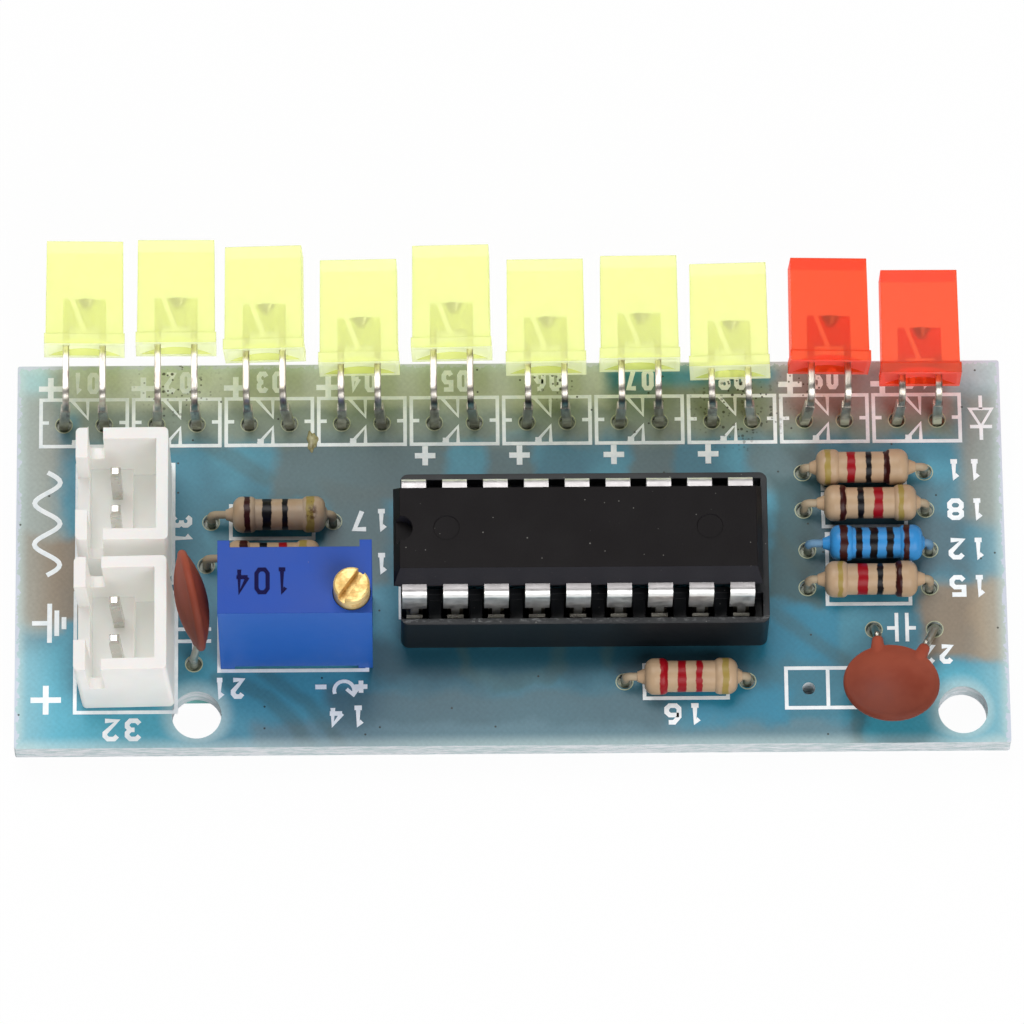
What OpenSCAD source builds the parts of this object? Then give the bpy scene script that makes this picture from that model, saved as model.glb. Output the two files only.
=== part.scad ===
// Assembled ten-segment volume meter board: a glass-fibre board with a bent-over row of
// rectangular lamps, a socketed driver chip, two plug headers, a multi-turn trimmer,
// seven axial resistors and two disc capacitors, soldered on the underside.
// Millimetres. X runs along the lamp row, Y towards the lamp tips, Z up off the board.
// Inside the modules X = Y = 0 is the middle of the board and Z = 0 is its top face.
// placed() moves that to the middle of the whole outline, with Z = 0 at the lead tips.

/* [Board] */
// Length of the board along the lamp row
board_w = 62.1; // [58:0.1:66]
// Depth of the board, front edge to back edge
board_d = 25.6; // [25.2:0.1:30]
// Thickness of the board
board_t = 1.6; // [1:0.1:2]
// Radius of the board's corners
board_corner_r = 0.15; // [0.1:0.05:1]
// Diameter of the holes that the component leads pass through
lead_hole_d = 1; // [0.95:0.05:1.1]
// Diameter of the two screw holes
screw_hole_d = 3.1; // [2.6:0.1:3.2]
// Distance between the two screw holes
screw_hole_gap = 47.8; // [47.6:0.1:48.2]
// How far the leads stick out below the board
lead_out = 1.3; // [1.1:0.1:2]
// Radius of a solder pad
pad_r = 0.95; // [0.85:0.05:1]
// Height of a solder joint below the board
solder_h = 0.85; // [0.7:0.05:1]

/* [Lamps] */
// Distance from one lamp to the next
led_pitch = 5.842; // [5.5:0.1:6]
// Width of a lamp at its tip
led_w = 4.8; // [4.2:0.1:5]
// Width of a lamp across its foot
led_foot_w = 5.05; // [4.9:0.05:5.3]
// Thickness of a lamp
led_t = 2; // [1.8:0.1:2.2]
// Thickness of a lamp across its foot
led_foot_t = 2.4; // [2.3:0.1:2.8]
// Length of a lamp from foot to tip
led_len = 7; // [6:0.1:9]
// Length of a lamp's foot flange
led_foot_len = 0.7; // [0.5:0.1:1.5]
// Depth of the hollow in a lamp's foot
led_foot_hollow = 0.5; // [0.3:0.1:0.6]
// Height of the lamp leads above the board
led_h = 4.3; // [3.8:0.1:6]
// Distance between a lamp's two leads at the board
led_lead_pitch = 2.54; // [2.4:0.02:2.6]
// Distance between a lamp's two leads at its foot
led_root_pitch = 2.3; // [2.2:0.02:2.5]

/* [Driver chip] */
// Pin pitch of the chip and its socket
chip_pitch = 2.54; // [2.5:0.01:2.56]
// Distance between the chip's two pin rows
chip_row_gap = 7.62; // [7.5:0.02:7.7]
// Length of the chip body
chip_len = 22.9; // [22.4:0.1:23.4]
// Width of the chip body at its parting line
chip_w = 6.4; // [6.2:0.1:6.5]
// Thickness of the chip body
chip_t = 3.3; // [3:0.1:3.6]
// Width of a pin's shoulder
chip_shoulder_w = 1.52; // [1.3:0.02:1.6]
// Length of the socket
socket_len = 22.9; // [22.8:0.1:23.6]
// Width of the socket
socket_w = 10; // [9.8:0.1:10.4]
// Height of the socket
socket_h = 4.2; // [4:0.1:5]

/* [Plug headers] */
// Width of a header, across its pins
header_w = 5.75; // [5.6:0.05:6]
// Length of a header, along its pins
header_len = 7.45; // [7.3:0.05:7.5]
// Height of a header
header_h = 7; // [6.8:0.1:8]
// Thickness of a header's walls
header_wall = 0.75; // [0.6:0.05:0.8]
// Pin pitch of a header
header_pitch = 2.5; // [2.4:0.05:2.6]
// Thickness of the square header pins
header_pin_t = 0.64; // [0.5:0.02:0.66]
// Height of the pin tips above the board
header_pin_h = 5.9; // [5:0.1:6.5]
// Depth of the latch window and the end notches below the rim
header_notch = 3.5; // [2.5:0.1:3.8]

/* [Trimmer] */
// Length of the trimmer
trimmer_len = 9.5; // [9.3:0.05:9.7]
// Depth of the trimmer, front face to back ears
trimmer_d = 4.8; // [4.6:0.05:5]
// Height of the trimmer
trimmer_h = 10; // [9:0.1:11]
// Diameter of the adjusting screw's head
screw_d = 2.25; // [2:0.05:2.3]
// How far the screw's head stands above the trimmer
screw_out = 1.5; // [0.8:0.1:2]
// Width of the screwdriver slot
slot_w = 0.5; // [0.4:0.05:0.6]
// Depth of the screwdriver slot
slot_depth = 0.7; // [0.5:0.05:0.9]
// Clearance all round the screw in its bore
screw_clearance = 0.05; // [0.03:0.01:0.08]

/* [Resistors] */
// Distance between a resistor's two holes
resistor_span = 7.62; // [7.5:0.02:7.8]
// Length of a resistor's body
resistor_len = 5.8; // [5.4:0.1:5.9]
// Diameter of a resistor's rounded ends
resistor_end_d = 2.28; // [2.2:0.02:2.3]
// Diameter of a resistor's waist
resistor_waist_d = 1.96; // [1.8:0.02:2.1]
// Diameter of the round component leads
wire_d = 0.5; // [0.4:0.02:0.6]
// Height of a resistor's axis above the board
resistor_h = 1.25; // [1.2:0.05:1.8]

/* [Capacitors] */
// Diameter of the upright capacitor's disc
disc_1_d = 6.4; // [5.8:0.1:6.6]
// Diameter of the leaning capacitor's disc
disc_2_d = 6; // [5.6:0.1:6.4]
// Thickness of a disc at its middle
disc_t = 2; // [1.7:0.1:2.2]
// Distance between a capacitor's two holes
capacitor_span = 3.81; // [3.7:0.02:3.9]
// Height of the upright disc's middle above the board
disc_1_h = 6.3; // [6.1:0.1:7]
// Slope of the leaning disc, front edge up, in degrees
disc_2_slope = 20; // [14:1:24]

/* [Hidden] */
LED_COUNT = 10;
LEDS = [for (i = [1:LED_COUNT]) i];
RESISTORS = [1, 2, 3, 5, 6, 7, 8];
CAPACITORS = [1, 2];
$fn = 48;
// Overlap of pieces joined within one solid, and overshoot of cuts
eps = 0.05;
// Swelling of a round wire where it is bent sharply
wire_knee = 1.12;
wire_trim = 0.2;

// Ends of the board, which the parts near them keep their distance from. On a short board
// a part comes no nearer than this gap to the socket
left_x = -board_w / 2;
right_x = board_w / 2;
part_gap = 0.6;

// Lamp row: middle of the row, hole row, and how each lamp was bent by hand:
// distance from hole row to foot, and sideways lean in degrees
led_row_x = -0.541;
led_row_y = 8.79;
led_reach = [3.35, 3.4, 2.95, 2, 2.95, 1.95, 2.15, 1.6, 1.9, 1.05];
led_lean = [2, 0.8, -3.2, -1.8, -2.2, -1.2, -0.6, -3.2, 2.4, 0.4];
// Lead frame of a lamp: strip thickness and width above the dam bar, the stouter part
// below it, the stub through the board, and the height of the dam bar
led_lead_t = 0.45;
led_lead_w = 0.4;
led_lead_low_w = 0.58;
led_lead_low_t = 0.52;
led_stub_w = 0.54;
led_stub_t = 0.48;
led_blade_t = 0.4;
led_dam_h = 2.9;
led_bend_r = 0.8;
// Lead frame inside the lens: where the wide blades begin and end above the foot
led_blade_start = 1.5;
led_blade_end = 3.4;
led_lean_in = atan((led_lead_pitch - led_root_pitch) / 2 / led_dam_h);
// Rim left round the hollow in a lamp's foot
led_hollow_rim_x = 0.25;
led_hollow_rim_z = 0.35;
led_hollow_chord = led_foot_w / 2 - led_hollow_rim_x;
led_hollow_r = (pow(led_hollow_chord, 2) + pow(led_foot_hollow, 2)) / 2 / led_foot_hollow;

// Driver chip and socket
chip_x = 4.08;
chip_y = -1.3;
chip_rows = 9;
chip_lift = 0.5;
chip_end_draft = 0.4;
chip_side_draft = 0.55;
chip_split = 0.5;
chip_lead_t = 0.25;
chip_lead_w = 0.5;
chip_lead_bend_r = 0.35;
chip_lead_tip_z = 1.3;
chip_notch_r = 0.8;
chip_notch_depth = 1;
chip_dimple_r = 0.8;
chip_dimple_depth = 0.06;
chip_dimple_x = 8.15;
chip_bottom_z = socket_h + chip_lift;
chip_lead_z = chip_bottom_z + chip_t * chip_split;
socket_shift = 0.45;
socket_corner_r = 0.5;
socket_rail_w = 2.35;
socket_end_w = 1.4;
socket_bar_w = 1.6;
socket_well_w = 1.75;
socket_well_d = 1.6;
socket_floor = 0.5;
// Groove that joins a row's wells: its depth, and the wall left at its far end
socket_groove_depth = 1;
socket_groove_wall = 0.4;
socket_x = chip_x + socket_shift;
contact_t = 0.2;
contact_w = 1;
contact_h = 2.9;
contact_flare = 14;

// Trimmer: its middle, and the middle's distance from the board's left end
trimmer_in = 17.6;
trimmer_x = min(left_x + trimmer_in, socket_x - socket_len / 2 - part_gap - trimmer_len / 2);
trimmer_y = -5.2;

// Upright capacitor between the power header and the trimmer, with the room it needs
capacitor_1_in = 11.18;
capacitor_1_y = -5.36;
disc_1_room = 1.6;
capacitor_1_x = min(left_x + capacitor_1_in, trimmer_x - trimmer_len / 2 - disc_1_room);
capacitor_1_at = [capacitor_1_x, capacitor_1_y];

// Headers: distance of each middle from the board's left end and from its long middle line,
// the room to the capacitor, the lean to the left in degrees, and the inner sizes
input_header_in = 6.9;
input_header_y = 2.16;
power_header_in = 7.1;
power_header_y = -6.42;
header_room = 1.15;
header_max_x = capacitor_1_x - header_room - header_w / 2;
input_header_at = [min(left_x + input_header_in, header_max_x), input_header_y];
power_header_at = [min(left_x + power_header_in, header_max_x), power_header_y];
input_header_lean = 0.4;
power_header_lean = 2.6;
header_corner_r = 0.3;
header_floor = 1.7;
header_step_floor = 0.7;
header_step_x = 0.5;
header_notch_w = 0.95;
header_notch_r = 0.3;
header_window = 3.45;
header_pin_x = -0.45;
header_pin_chamfer = 0.25;

// Trimmer: back recess, feet and screw place
trimmer_ear_w = 0.75;
trimmer_recess = 0.45;
trimmer_foot_w = 0.9;
trimmer_foot_h = 0.4;
trimmer_pin_pitch = 2.54;
trimmer_pin_d = 0.5;
trimmer_pin_root = 1.5;
screw_inset_x = 1.25;
screw_inset_y = 1.35;
screw_head_in = 0.9;
screw_shaft_d = 1.4;
screw_shaft_end = 2.2;
screw_chamfer = 0.12;
slot_turn = 55;

// Resistors: whether the place is kept from the board's left end (-1), its right end (1) or
// the chip (0), the distance from there to the middle between the holes, that middle's
// place across the board, the shift of the body along its leads, and how far the body was
// pushed over about the hole line, in degrees
resistor_side = [1, 1, -1, 1, 0, -1, 1];
resistor_in = [8.77, 8.59, 15.78, 8.64, 6.76, 16.08, 8.77];
resistor_y = [5.32, 0.03, -0.72, -2.55, -8.58, 2.16, 2.72];
resistor_min_x = socket_x + socket_len / 2 + part_gap + (resistor_span + wire_d) / 2;
resistor_shift = [-0.15, 0.42, 0.4, 0.1, 0.28, 0.45, 0.3];
resistor_lean = [9, 0, 0, -8, 8, -2, 0];
resistor_bend_r = 0.35;
resistor_end_len = 1.5;
resistor_round_out = 0.62;
resistor_round_in = 0.4;
resistor_neck_r = 0.5;
resistor_neck_len = 0.45;
coat_t = 0.07;

// Second capacitor: place between its holes, and both discs' places and turns
capacitor_2_in = 6.48;
capacitor_2_y = -5.3;
capacitor_2_at = [right_x - capacitor_2_in, capacitor_2_y];
disc_1_turn = 102;
disc_2_shift = [-1.05, -4.45];
disc_2_h = 2.55;
disc_2_turn = -13;
disc_rim_t = 0.5;
disc_root_gap = 2.7;
disc_root_r = 0.62;
disc_root_tip_r = 0.34;
disc_root_len = 0.62;
disc_root_depth = 1.4;
disc_lead_start = 0.3;

// Empty pads left on the board for a part that isn't fitted, no nearer to the next pad
// than it takes. A skin of solder closes their small holes
empty_in = 12.55;
empty_y = -9.17;
empty_span = 5.08;
empty_hole_d = 0.8;
empty_skin = 0.12;
empty_x = max(right_x - empty_in, resistor_x(4) + resistor_span / 2 + 2 * pad_r + empty_skin);
screw_hole_in = 2.95;
screw_hole_x = right_x - screw_hole_in - screw_hole_gap / 2;
screw_hole_y = -10.65;

// Lowest point, and the middle of the whole outline
tip_z = -board_t - lead_out;
back_y = led_row_y + max(led_reach) + led_len;
frame_y = (board_d / 2 - back_y) / 2;

function led_x(i) = led_row_x + (i - (LED_COUNT + 1) / 2) * led_pitch;
function chip_pin_x(k) = chip_x + (k - (chip_rows - 1) / 2) * chip_pitch;
function resistor_index(n) = search(n, RESISTORS)[0];
function resistor_x(k) = resistor_side[k] < 0 ? left_x + resistor_in[k]
    : resistor_side[k] > 0 ? max(right_x - resistor_in[k], resistor_min_x)
    : chip_x + resistor_in[k];

module placed() {
    translate([0, frame_y, -tip_z]) children();
}

// Rectangle with round corners, kept as true arcs
module round_rect(w, d, r) {
    square([w - 2 * r, d], center = true);
    square([w, d - 2 * r], center = true);
    for (x = [-1, 1], y = [-1, 1]) {
        translate([x * (w / 2 - r), y * (d / 2 - r)]) circle(r);
    }
}

// Flat strip in the YZ plane: up from z0, round a bend of radius r, then along +Y to y1
module bent_strip(w, t, z0, h, r, y1) {
    rotate([90, 0, 90]) linear_extrude(w, center = true) {
        translate([-t / 2, z0]) square([t, h - r - z0]);
        translate([r, h - t / 2]) square([y1 - r, t]);
        intersection() {
            translate([r, h - r]) difference() {
                circle(r + t / 2);
                circle(r - t / 2);
            }
            translate([-t / 2, h - r]) square([r + t / 2, r + t / 2]);
        }
    }
}

// Round wire along straight runs, with a slightly swollen ball at each corner
module wire_run(points, d) {
    last = len(points) - 1;
    for (k = [0:last - 1]) {
        step = points[k + 1] - points[k];
        start = k > 0 ? wire_trim * d : 0;
        end = norm(step) - (k + 1 < last ? wire_trim * d : 0);
        translate(points[k]) rotate([0, acos(step[2] / norm(step)), atan2(step[1], step[0])])
            translate([0, 0, start]) cylinder(d = d, h = end - start);
    }
    if (last > 1) {
        for (k = [1:last - 1]) {
            translate(points[k]) sphere(d = d * wire_knee);
        }
    }
}

// Places of every soldered lead
module at_led_holes(i) {
    for (side = [-1, 1]) {
        translate([led_x(i) + side * led_lead_pitch / 2, led_row_y, 0]) children();
    }
}

module at_chip_pins() {
    for (k = [0:chip_rows - 1], row = [-1, 1]) {
        translate([chip_pin_x(k), chip_y + row * chip_row_gap / 2, 0])
            rotate([0, 0, 90 - row * 90]) children();
    }
}

module at_header(at, lean) {
    translate([at[0], at[1], header_w / 2 * sin(lean)]) rotate([0, -lean, 0]) children();
}

module at_header_pins() {
    for (side = [-1, 1]) {
        translate([header_pin_x, side * header_pitch / 2, 0]) children();
    }
}

module at_trimmer_pins() {
    for (k = [-1:1]) {
        translate([trimmer_x + k * trimmer_pin_pitch, trimmer_y, 0]) children();
    }
}

module at_resistor_holes(n) {
    k = resistor_index(n);
    for (side = [-1, 1]) {
        translate([resistor_x(k) + side * resistor_span / 2, resistor_y[k], 0]) children();
    }
}

module at_capacitor_holes(n) {
    at = n == 1 ? capacitor_1_at : capacitor_2_at;
    for (side = [-1, 1]) {
        translate([at[0], at[1], 0]) rotate([0, 0, n == 1 ? 90 : 0])
            translate([side * capacitor_span / 2, 0, 0]) children();
    }
}

module at_all_round_leads() {
    for (n = RESISTORS) at_resistor_holes(n) children();
    for (n = CAPACITORS) at_capacitor_holes(n) children();
}

module at_empty_pads() {
    for (side = [0, 1]) translate([empty_x + side * empty_span, empty_y, 0]) children();
}

module at_screw_holes() {
    for (side = [-1, 1]) {
        translate([screw_hole_x + side * screw_hole_gap / 2, screw_hole_y, 0]) children();
    }
}

// Board with all its holes
module circuit_board() {
    color([0.24, 0.55, 0.62]) placed() translate([0, 0, -board_t]) linear_extrude(board_t) {
        difference() {
            round_rect(board_w, board_d, board_corner_r);
            for (i = LEDS) at_led_holes(i) circle(d = lead_hole_d);
            at_chip_pins() circle(d = lead_hole_d);
            for (at = [input_header_at, power_header_at]) {
                translate(at) at_header_pins() circle(d = lead_hole_d + 0.1);
            }
            at_trimmer_pins() circle(d = lead_hole_d);
            at_all_round_leads() circle(d = lead_hole_d);
            at_empty_pads() circle(d = empty_hole_d);
            at_screw_holes() circle(d = screw_hole_d);
        }
    }
}

// Stretch of a lead through the board, down to its trimmed tip
module round_stub() {
    translate([0, 0, tip_z]) cylinder(d = wire_d, h = -tip_z - wire_trim * wire_d);
}

module flat_stub(w, t, top) {
    translate([-w / 2, -t / 2, tip_z]) cube([w, t, top - tip_z]);
}

// Pad and hollow-sided solder cone round one lead
module solder_joint(top_r) {
    fillet_r = min(pad_r - top_r, solder_h - 0.1);
    translate([0, 0, -board_t]) mirror([0, 0, 1]) rotate_extrude() {
        square([pad_r, 0.08]);
        square([top_r, solder_h]);
        difference() {
            square([top_r + fillet_r, fillet_r]);
            translate([top_r + fillet_r, fillet_r]) circle(fillet_r);
        }
    }
}

module solder_joints() {
    color([0.78, 0.79, 0.8]) placed() difference() {
        union() {
            for (i = LEDS) at_led_holes(i) solder_joint(0.42);
            at_chip_pins() solder_joint(0.36);
            for (at = [input_header_at, power_header_at]) {
                translate(at) at_header_pins() solder_joint(0.52);
            }
            at_trimmer_pins() solder_joint(0.36);
            at_all_round_leads() solder_joint(0.36);
            at_empty_pads() translate([0, 0, -board_t - empty_skin])
                cylinder(r = pad_r, h = empty_skin);
        }
        for (i = LEDS) at_led_holes(i) flat_stub(led_stub_w, led_stub_t, 0);
        at_chip_pins() flat_stub(chip_lead_w, chip_lead_t, 0);
        at_header(input_header_at, input_header_lean) header_pins();
        at_header(power_header_at, power_header_lean) header_pins();
        at_trimmer_pins() cylinder(d = trimmer_pin_d, h = -2 * tip_z, center = true);
        at_all_round_leads() round_stub();
    }
}

// Lamps
module led_frame(i) {
    reach = led_reach[i - 1];
    for (side = [-1, 1]) {
        translate([side * led_lead_pitch / 2, 0, 0]) rotate([0, -side * led_lean_in, 0])
            translate([-led_lead_low_w / 2, -led_lead_low_t / 2, -0.2])
                cube([led_lead_low_w, led_lead_low_t, led_dam_h + 0.2]);
        translate([side * led_root_pitch / 2, 0, 0])
            bent_strip(led_lead_w, led_lead_t, led_dam_h - 0.3, led_h, led_bend_r,
                reach + led_blade_start + eps);
    }
    translate([0, reach, led_h]) linear_extrude(led_blade_t, center = true) {
        polygon([[-1.35, led_blade_start], [-0.3, led_blade_start],
            [-0.95, led_blade_end], [-1.35, led_blade_end]]);
        polygon([[0.1, led_blade_start], [1.35, led_blade_start],
            [1.35, led_blade_end], [-0.6, led_blade_end]]);
    }
}

module led_pose(i) {
    translate([led_x(i), led_row_y, 0]) rotate([0, led_lean[i - 1], 0]) children();
}

module led_leads(i) {
    color([0.72, 0.71, 0.69]) placed() {
        led_pose(i) led_frame(i);
        at_led_holes(i) flat_stub(led_stub_w, led_stub_t, 0.1);
    }
}

module led_lens(i) {
    tint = i > 8 ? [0.95, 0.25, 0.15] : [0.85, 0.95, 0.45];
    color(tint) placed() led_pose(i) difference() {
        translate([0, led_reach[i - 1], led_h]) difference() {
            union() {
                linear_extrude(led_t, center = true) polygon([
                    [-led_foot_w / 2 + 0.08, 0], [led_foot_w / 2 - 0.08, 0],
                    [led_w / 2, led_len], [-led_w / 2, led_len]]);
                translate([-led_foot_w / 2, 0, -led_foot_t / 2])
                    cube([led_foot_w, led_foot_len, led_foot_t]);
            }
            translate([0, led_foot_hollow - led_hollow_r, 0])
                cylinder(r = led_hollow_r, h = led_foot_t - 2 * led_hollow_rim_z,
                    center = true, $fn = 96);
        }
        led_frame(i);
    }
}

// Socket and driver chip
module ic_socket() {
    inner_d = socket_w - 2 * socket_rail_w;
    inner_l = socket_len - 2 * socket_end_w;
    groove_x = chip_pin_x(0) - socket_well_w / 2;
    groove_end_x = socket_x + socket_len / 2 - socket_groove_wall;
    color([0.1, 0.1, 0.11]) placed() difference() {
        translate([socket_x, chip_y, 0]) linear_extrude(socket_h) difference() {
            round_rect(socket_len, socket_w, socket_corner_r);
            difference() {
                square([inner_l, inner_d], center = true);
                square([socket_bar_w, inner_d + 1], center = true);
            }
        }
        at_chip_pins() {
            translate([-socket_well_w / 2, -socket_well_d / 2, socket_floor])
                cube([socket_well_w, socket_well_d, socket_h]);
            translate([-chip_lead_w / 2, -chip_lead_t / 2, -1])
                cube([chip_lead_w, chip_lead_t, 2]);
        }
        for (row = [-1, 1]) {
            translate([groove_x, chip_y + (row * chip_row_gap - socket_well_d) / 2,
                socket_h - socket_groove_depth])
                cube([groove_end_x - groove_x, socket_well_d, socket_groove_depth + 1]);
        }
    }
}

// One socket contact: two leaves that grip the chip's pin, on a bridge with a solder tail
module socket_contact() {
    leaf_y = chip_lead_t / 2;
    flat_stub(chip_lead_w, chip_lead_t, socket_floor + contact_t);
    translate([-contact_w / 2, -socket_well_d / 2, socket_floor])
        cube([contact_w, socket_well_d, contact_t]);
    for (side = [-1, 1]) {
        translate([0, side * (leaf_y + contact_t / 2), socket_floor]) {
            translate([-contact_w / 2, -contact_t / 2, 0])
                cube([contact_w, contact_t, contact_h - 0.5]);
            translate([0, 0, contact_h - 0.5]) rotate([-side * contact_flare, 0, 0])
                translate([-contact_w / 2, -contact_t / 2, -eps])
                    cube([contact_w, contact_t, 0.6]);
        }
    }
}

module socket_contacts() {
    color([0.8, 0.78, 0.72]) placed() at_chip_pins() socket_contact();
}

// Six-sided section of the chip body: widest at the parting line
module chip_section(w, draft) {
    polygon([[-w / 2, chip_t * chip_split], [-w / 2 + draft, 0], [w / 2 - draft, 0],
        [w / 2, chip_t * chip_split], [w / 2 - draft, chip_t], [-w / 2 + draft, chip_t]]);
}

module ic_package() {
    color([0.13, 0.12, 0.13]) placed() difference() {
        translate([chip_x, chip_y, chip_bottom_z]) difference() {
            intersection() {
                rotate([90, 0, 90]) linear_extrude(chip_len + 2, center = true)
                    chip_section(chip_w, chip_side_draft);
                rotate([90, 0, 0]) linear_extrude(chip_w + 2, center = true)
                    chip_section(chip_len, chip_end_draft);
            }
            translate([-chip_len / 2 + chip_end_draft, 0, chip_t - chip_notch_depth])
                cylinder(r = chip_notch_r, h = chip_notch_depth + 1);
            for (side = [-1, 1]) {
                translate([side * chip_dimple_x, 0, chip_t - chip_dimple_depth])
                    cylinder(r = chip_dimple_r, h = 1);
            }
        }
        at_chip_pins() chip_pin_root();
    }
}

// Flat inner end of a chip pin, buried in the body
module chip_pin_root() {
    inner = chip_row_gap / 2 - chip_w / 2;
    translate([-chip_shoulder_w / 2, -inner - 0.7, chip_lead_z - chip_lead_t / 2])
        cube([chip_shoulder_w, inner + 0.7 - chip_lead_bend_r, chip_lead_t]);
}

// One chip pin: a flat root, a rounded shoulder, and a narrow leg down into the socket
module chip_pin() {
    chip_pin_root();
    rotate([90, 0, 90]) linear_extrude(chip_shoulder_w, center = true) {
        translate([-chip_lead_t / 2, socket_h])
            square([chip_lead_t, chip_lead_z - chip_lead_bend_r - socket_h]);
        intersection() {
            translate([-chip_lead_bend_r, chip_lead_z - chip_lead_bend_r]) difference() {
                circle(chip_lead_bend_r + chip_lead_t / 2);
                circle(chip_lead_bend_r - chip_lead_t / 2);
            }
            translate([-chip_lead_bend_r, chip_lead_z - chip_lead_bend_r])
                square(chip_lead_bend_r + chip_lead_t / 2);
        }
    }
    translate([-chip_lead_w / 2, -chip_lead_t / 2, chip_lead_tip_z])
        cube([chip_lead_w, chip_lead_t, socket_h - chip_lead_tip_z + eps]);
}

module ic_leads() {
    color([0.82, 0.82, 0.82]) placed() at_chip_pins() chip_pin();
}

// Plug headers
module header_housing() {
    inner_w = header_w - 2 * header_wall;
    inner_len = header_len - 2 * header_wall;
    notch_x = -header_w / 2 + header_wall;
    difference() {
        linear_extrude(header_h) difference() {
            round_rect(header_w, header_len, header_corner_r);
            square([inner_w, inner_len], center = true);
        }
        // latch window in the long wall
        translate([-header_w / 2 - 1, -header_window / 2, header_h - header_notch])
            cube([header_wall + 1 + eps, header_window, header_notch + 1]);
        // end notches beside the long wall
        translate([notch_x, 0, header_h - header_notch]) rotate([90, 0, 0])
            linear_extrude(header_len + 2, center = true) {
                translate([header_notch_w - header_notch_r, header_notch_r]) circle(header_notch_r);
                translate([header_notch_r, header_notch_r]) circle(header_notch_r);
                translate([header_notch_r, 0]) square([header_notch_w - 2 * header_notch_r, 1]);
                translate([0, header_notch_r]) square([header_notch_w, header_notch + 1]);
            }
    }
    // floor with a lower step on the side away from the latch window
    difference() {
        translate([-inner_w / 2 - eps, -inner_len / 2 - eps, 0])
            cube([inner_w + 2 * eps, inner_len + 2 * eps, header_floor]);
        translate([header_step_x, -inner_len / 2, header_step_floor])
            cube([inner_w / 2 - header_step_x, inner_len, header_floor]);
        at_header_pins() translate([-header_pin_t / 2, -header_pin_t / 2, -1])
            cube([header_pin_t, header_pin_t, header_floor + 2]);
    }
}

module header_pins() {
    at_header_pins() {
        translate([-header_pin_t / 2, -header_pin_t / 2, tip_z])
            cube([header_pin_t, header_pin_t, header_pin_h - header_pin_chamfer - tip_z]);
        translate([0, 0, header_pin_h - header_pin_chamfer]) rotate([0, 0, 45])
            cylinder(d1 = header_pin_t * sqrt(2), d2 = header_pin_t * 0.8,
                h = header_pin_chamfer, $fn = 4);
    }
}

module input_header() {
    color([0.95, 0.94, 0.91]) placed() at_header(input_header_at, input_header_lean)
        header_housing();
}

module input_pins() {
    color([0.8, 0.8, 0.78]) placed() at_header(input_header_at, input_header_lean)
        header_pins();
}

module power_header() {
    color([0.95, 0.94, 0.91]) placed() at_header(power_header_at, power_header_lean)
        header_housing();
}

module power_pins() {
    color([0.8, 0.8, 0.78]) placed() at_header(power_header_at, power_header_lean)
        header_pins();
}

// Trimmer
module at_trimmer_screw() {
    translate([trimmer_x + trimmer_len / 2 - screw_inset_x,
        trimmer_y - trimmer_d / 2 + screw_inset_y, 0]) children();
}

module trimmer_housing() {
    color([0.15, 0.33, 0.78]) placed() difference() {
        translate([trimmer_x, trimmer_y, 0]) difference() {
            translate([-trimmer_len / 2, -trimmer_d / 2, 0])
                cube([trimmer_len, trimmer_d, trimmer_h]);
            translate([-trimmer_len / 2 + trimmer_ear_w, trimmer_d / 2 - trimmer_recess, -1])
                cube([trimmer_len - 2 * trimmer_ear_w, trimmer_recess + 1, trimmer_h + 2]);
            translate([-trimmer_len / 2 + trimmer_foot_w, -trimmer_d, -1])
                cube([trimmer_len - 2 * trimmer_foot_w, 2 * trimmer_d, trimmer_foot_h + 1]);
        }
        at_trimmer_pins() cylinder(d = trimmer_pin_d, h = 2 * trimmer_pin_root, center = true);
        at_trimmer_screw() {
            translate([0, 0, trimmer_h - screw_head_in - screw_clearance])
                cylinder(d = screw_d + 2 * screw_clearance, h = screw_head_in + 1);
            translate([0, 0, screw_shaft_end - screw_clearance])
                cylinder(d = screw_shaft_d + 2 * screw_clearance, h = trimmer_h);
        }
    }
}

module trimmer_pins() {
    color([0.8, 0.8, 0.78]) placed() at_trimmer_pins()
        translate([0, 0, tip_z]) cylinder(d = trimmer_pin_d, h = trimmer_pin_root - tip_z);
}

module trimmer_screw() {
    top = trimmer_h + screw_out;
    color([0.83, 0.66, 0.33]) placed() at_trimmer_screw() difference() {
        rotate_extrude() {
            translate([0, screw_shaft_end]) square([screw_shaft_d / 2, top - screw_shaft_end - 1]);
            polygon([[0, trimmer_h - screw_head_in], [screw_d / 2, trimmer_h - screw_head_in],
                [screw_d / 2, top - screw_chamfer], [screw_d / 2 - screw_chamfer, top], [0, top]]);
        }
        rotate([0, 0, slot_turn]) translate([-screw_d, -slot_w / 2, top - slot_depth])
            cube([2 * screw_d, slot_w, 2]);
    }
}

// Rounded end of a resistor, with a coated neck that runs out along the lead
module resistor_end(neck_len) {
    end_r = resistor_end_d / 2;
    core_r = end_r - resistor_round_out;
    rotate_extrude() {
        square([core_r, resistor_end_len]);
        translate([0, resistor_round_in])
            square([end_r, resistor_end_len - resistor_round_in - resistor_round_out]);
        translate([end_r - resistor_round_in, resistor_round_in]) circle(resistor_round_in);
        translate([core_r, resistor_end_len - resistor_round_out]) intersection() {
            circle(resistor_round_out);
            translate([-core_r, -resistor_round_out])
                square([core_r + resistor_round_out, 2 * resistor_round_out]);
        }
        polygon([[0, resistor_end_len - 0.1], [resistor_neck_r, resistor_end_len - 0.1],
            [resistor_neck_r, resistor_end_len],
            [wire_d / 2 + coat_t, resistor_end_len + neck_len],
            [0, resistor_end_len + neck_len]]);
    }
}

module resistor_pose(n) {
    k = resistor_index(n);
    translate([resistor_x(k), resistor_y[k], 0]) rotate([resistor_lean[k], 0, 0])
        translate([0, 0, resistor_h]) children();
}

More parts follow.
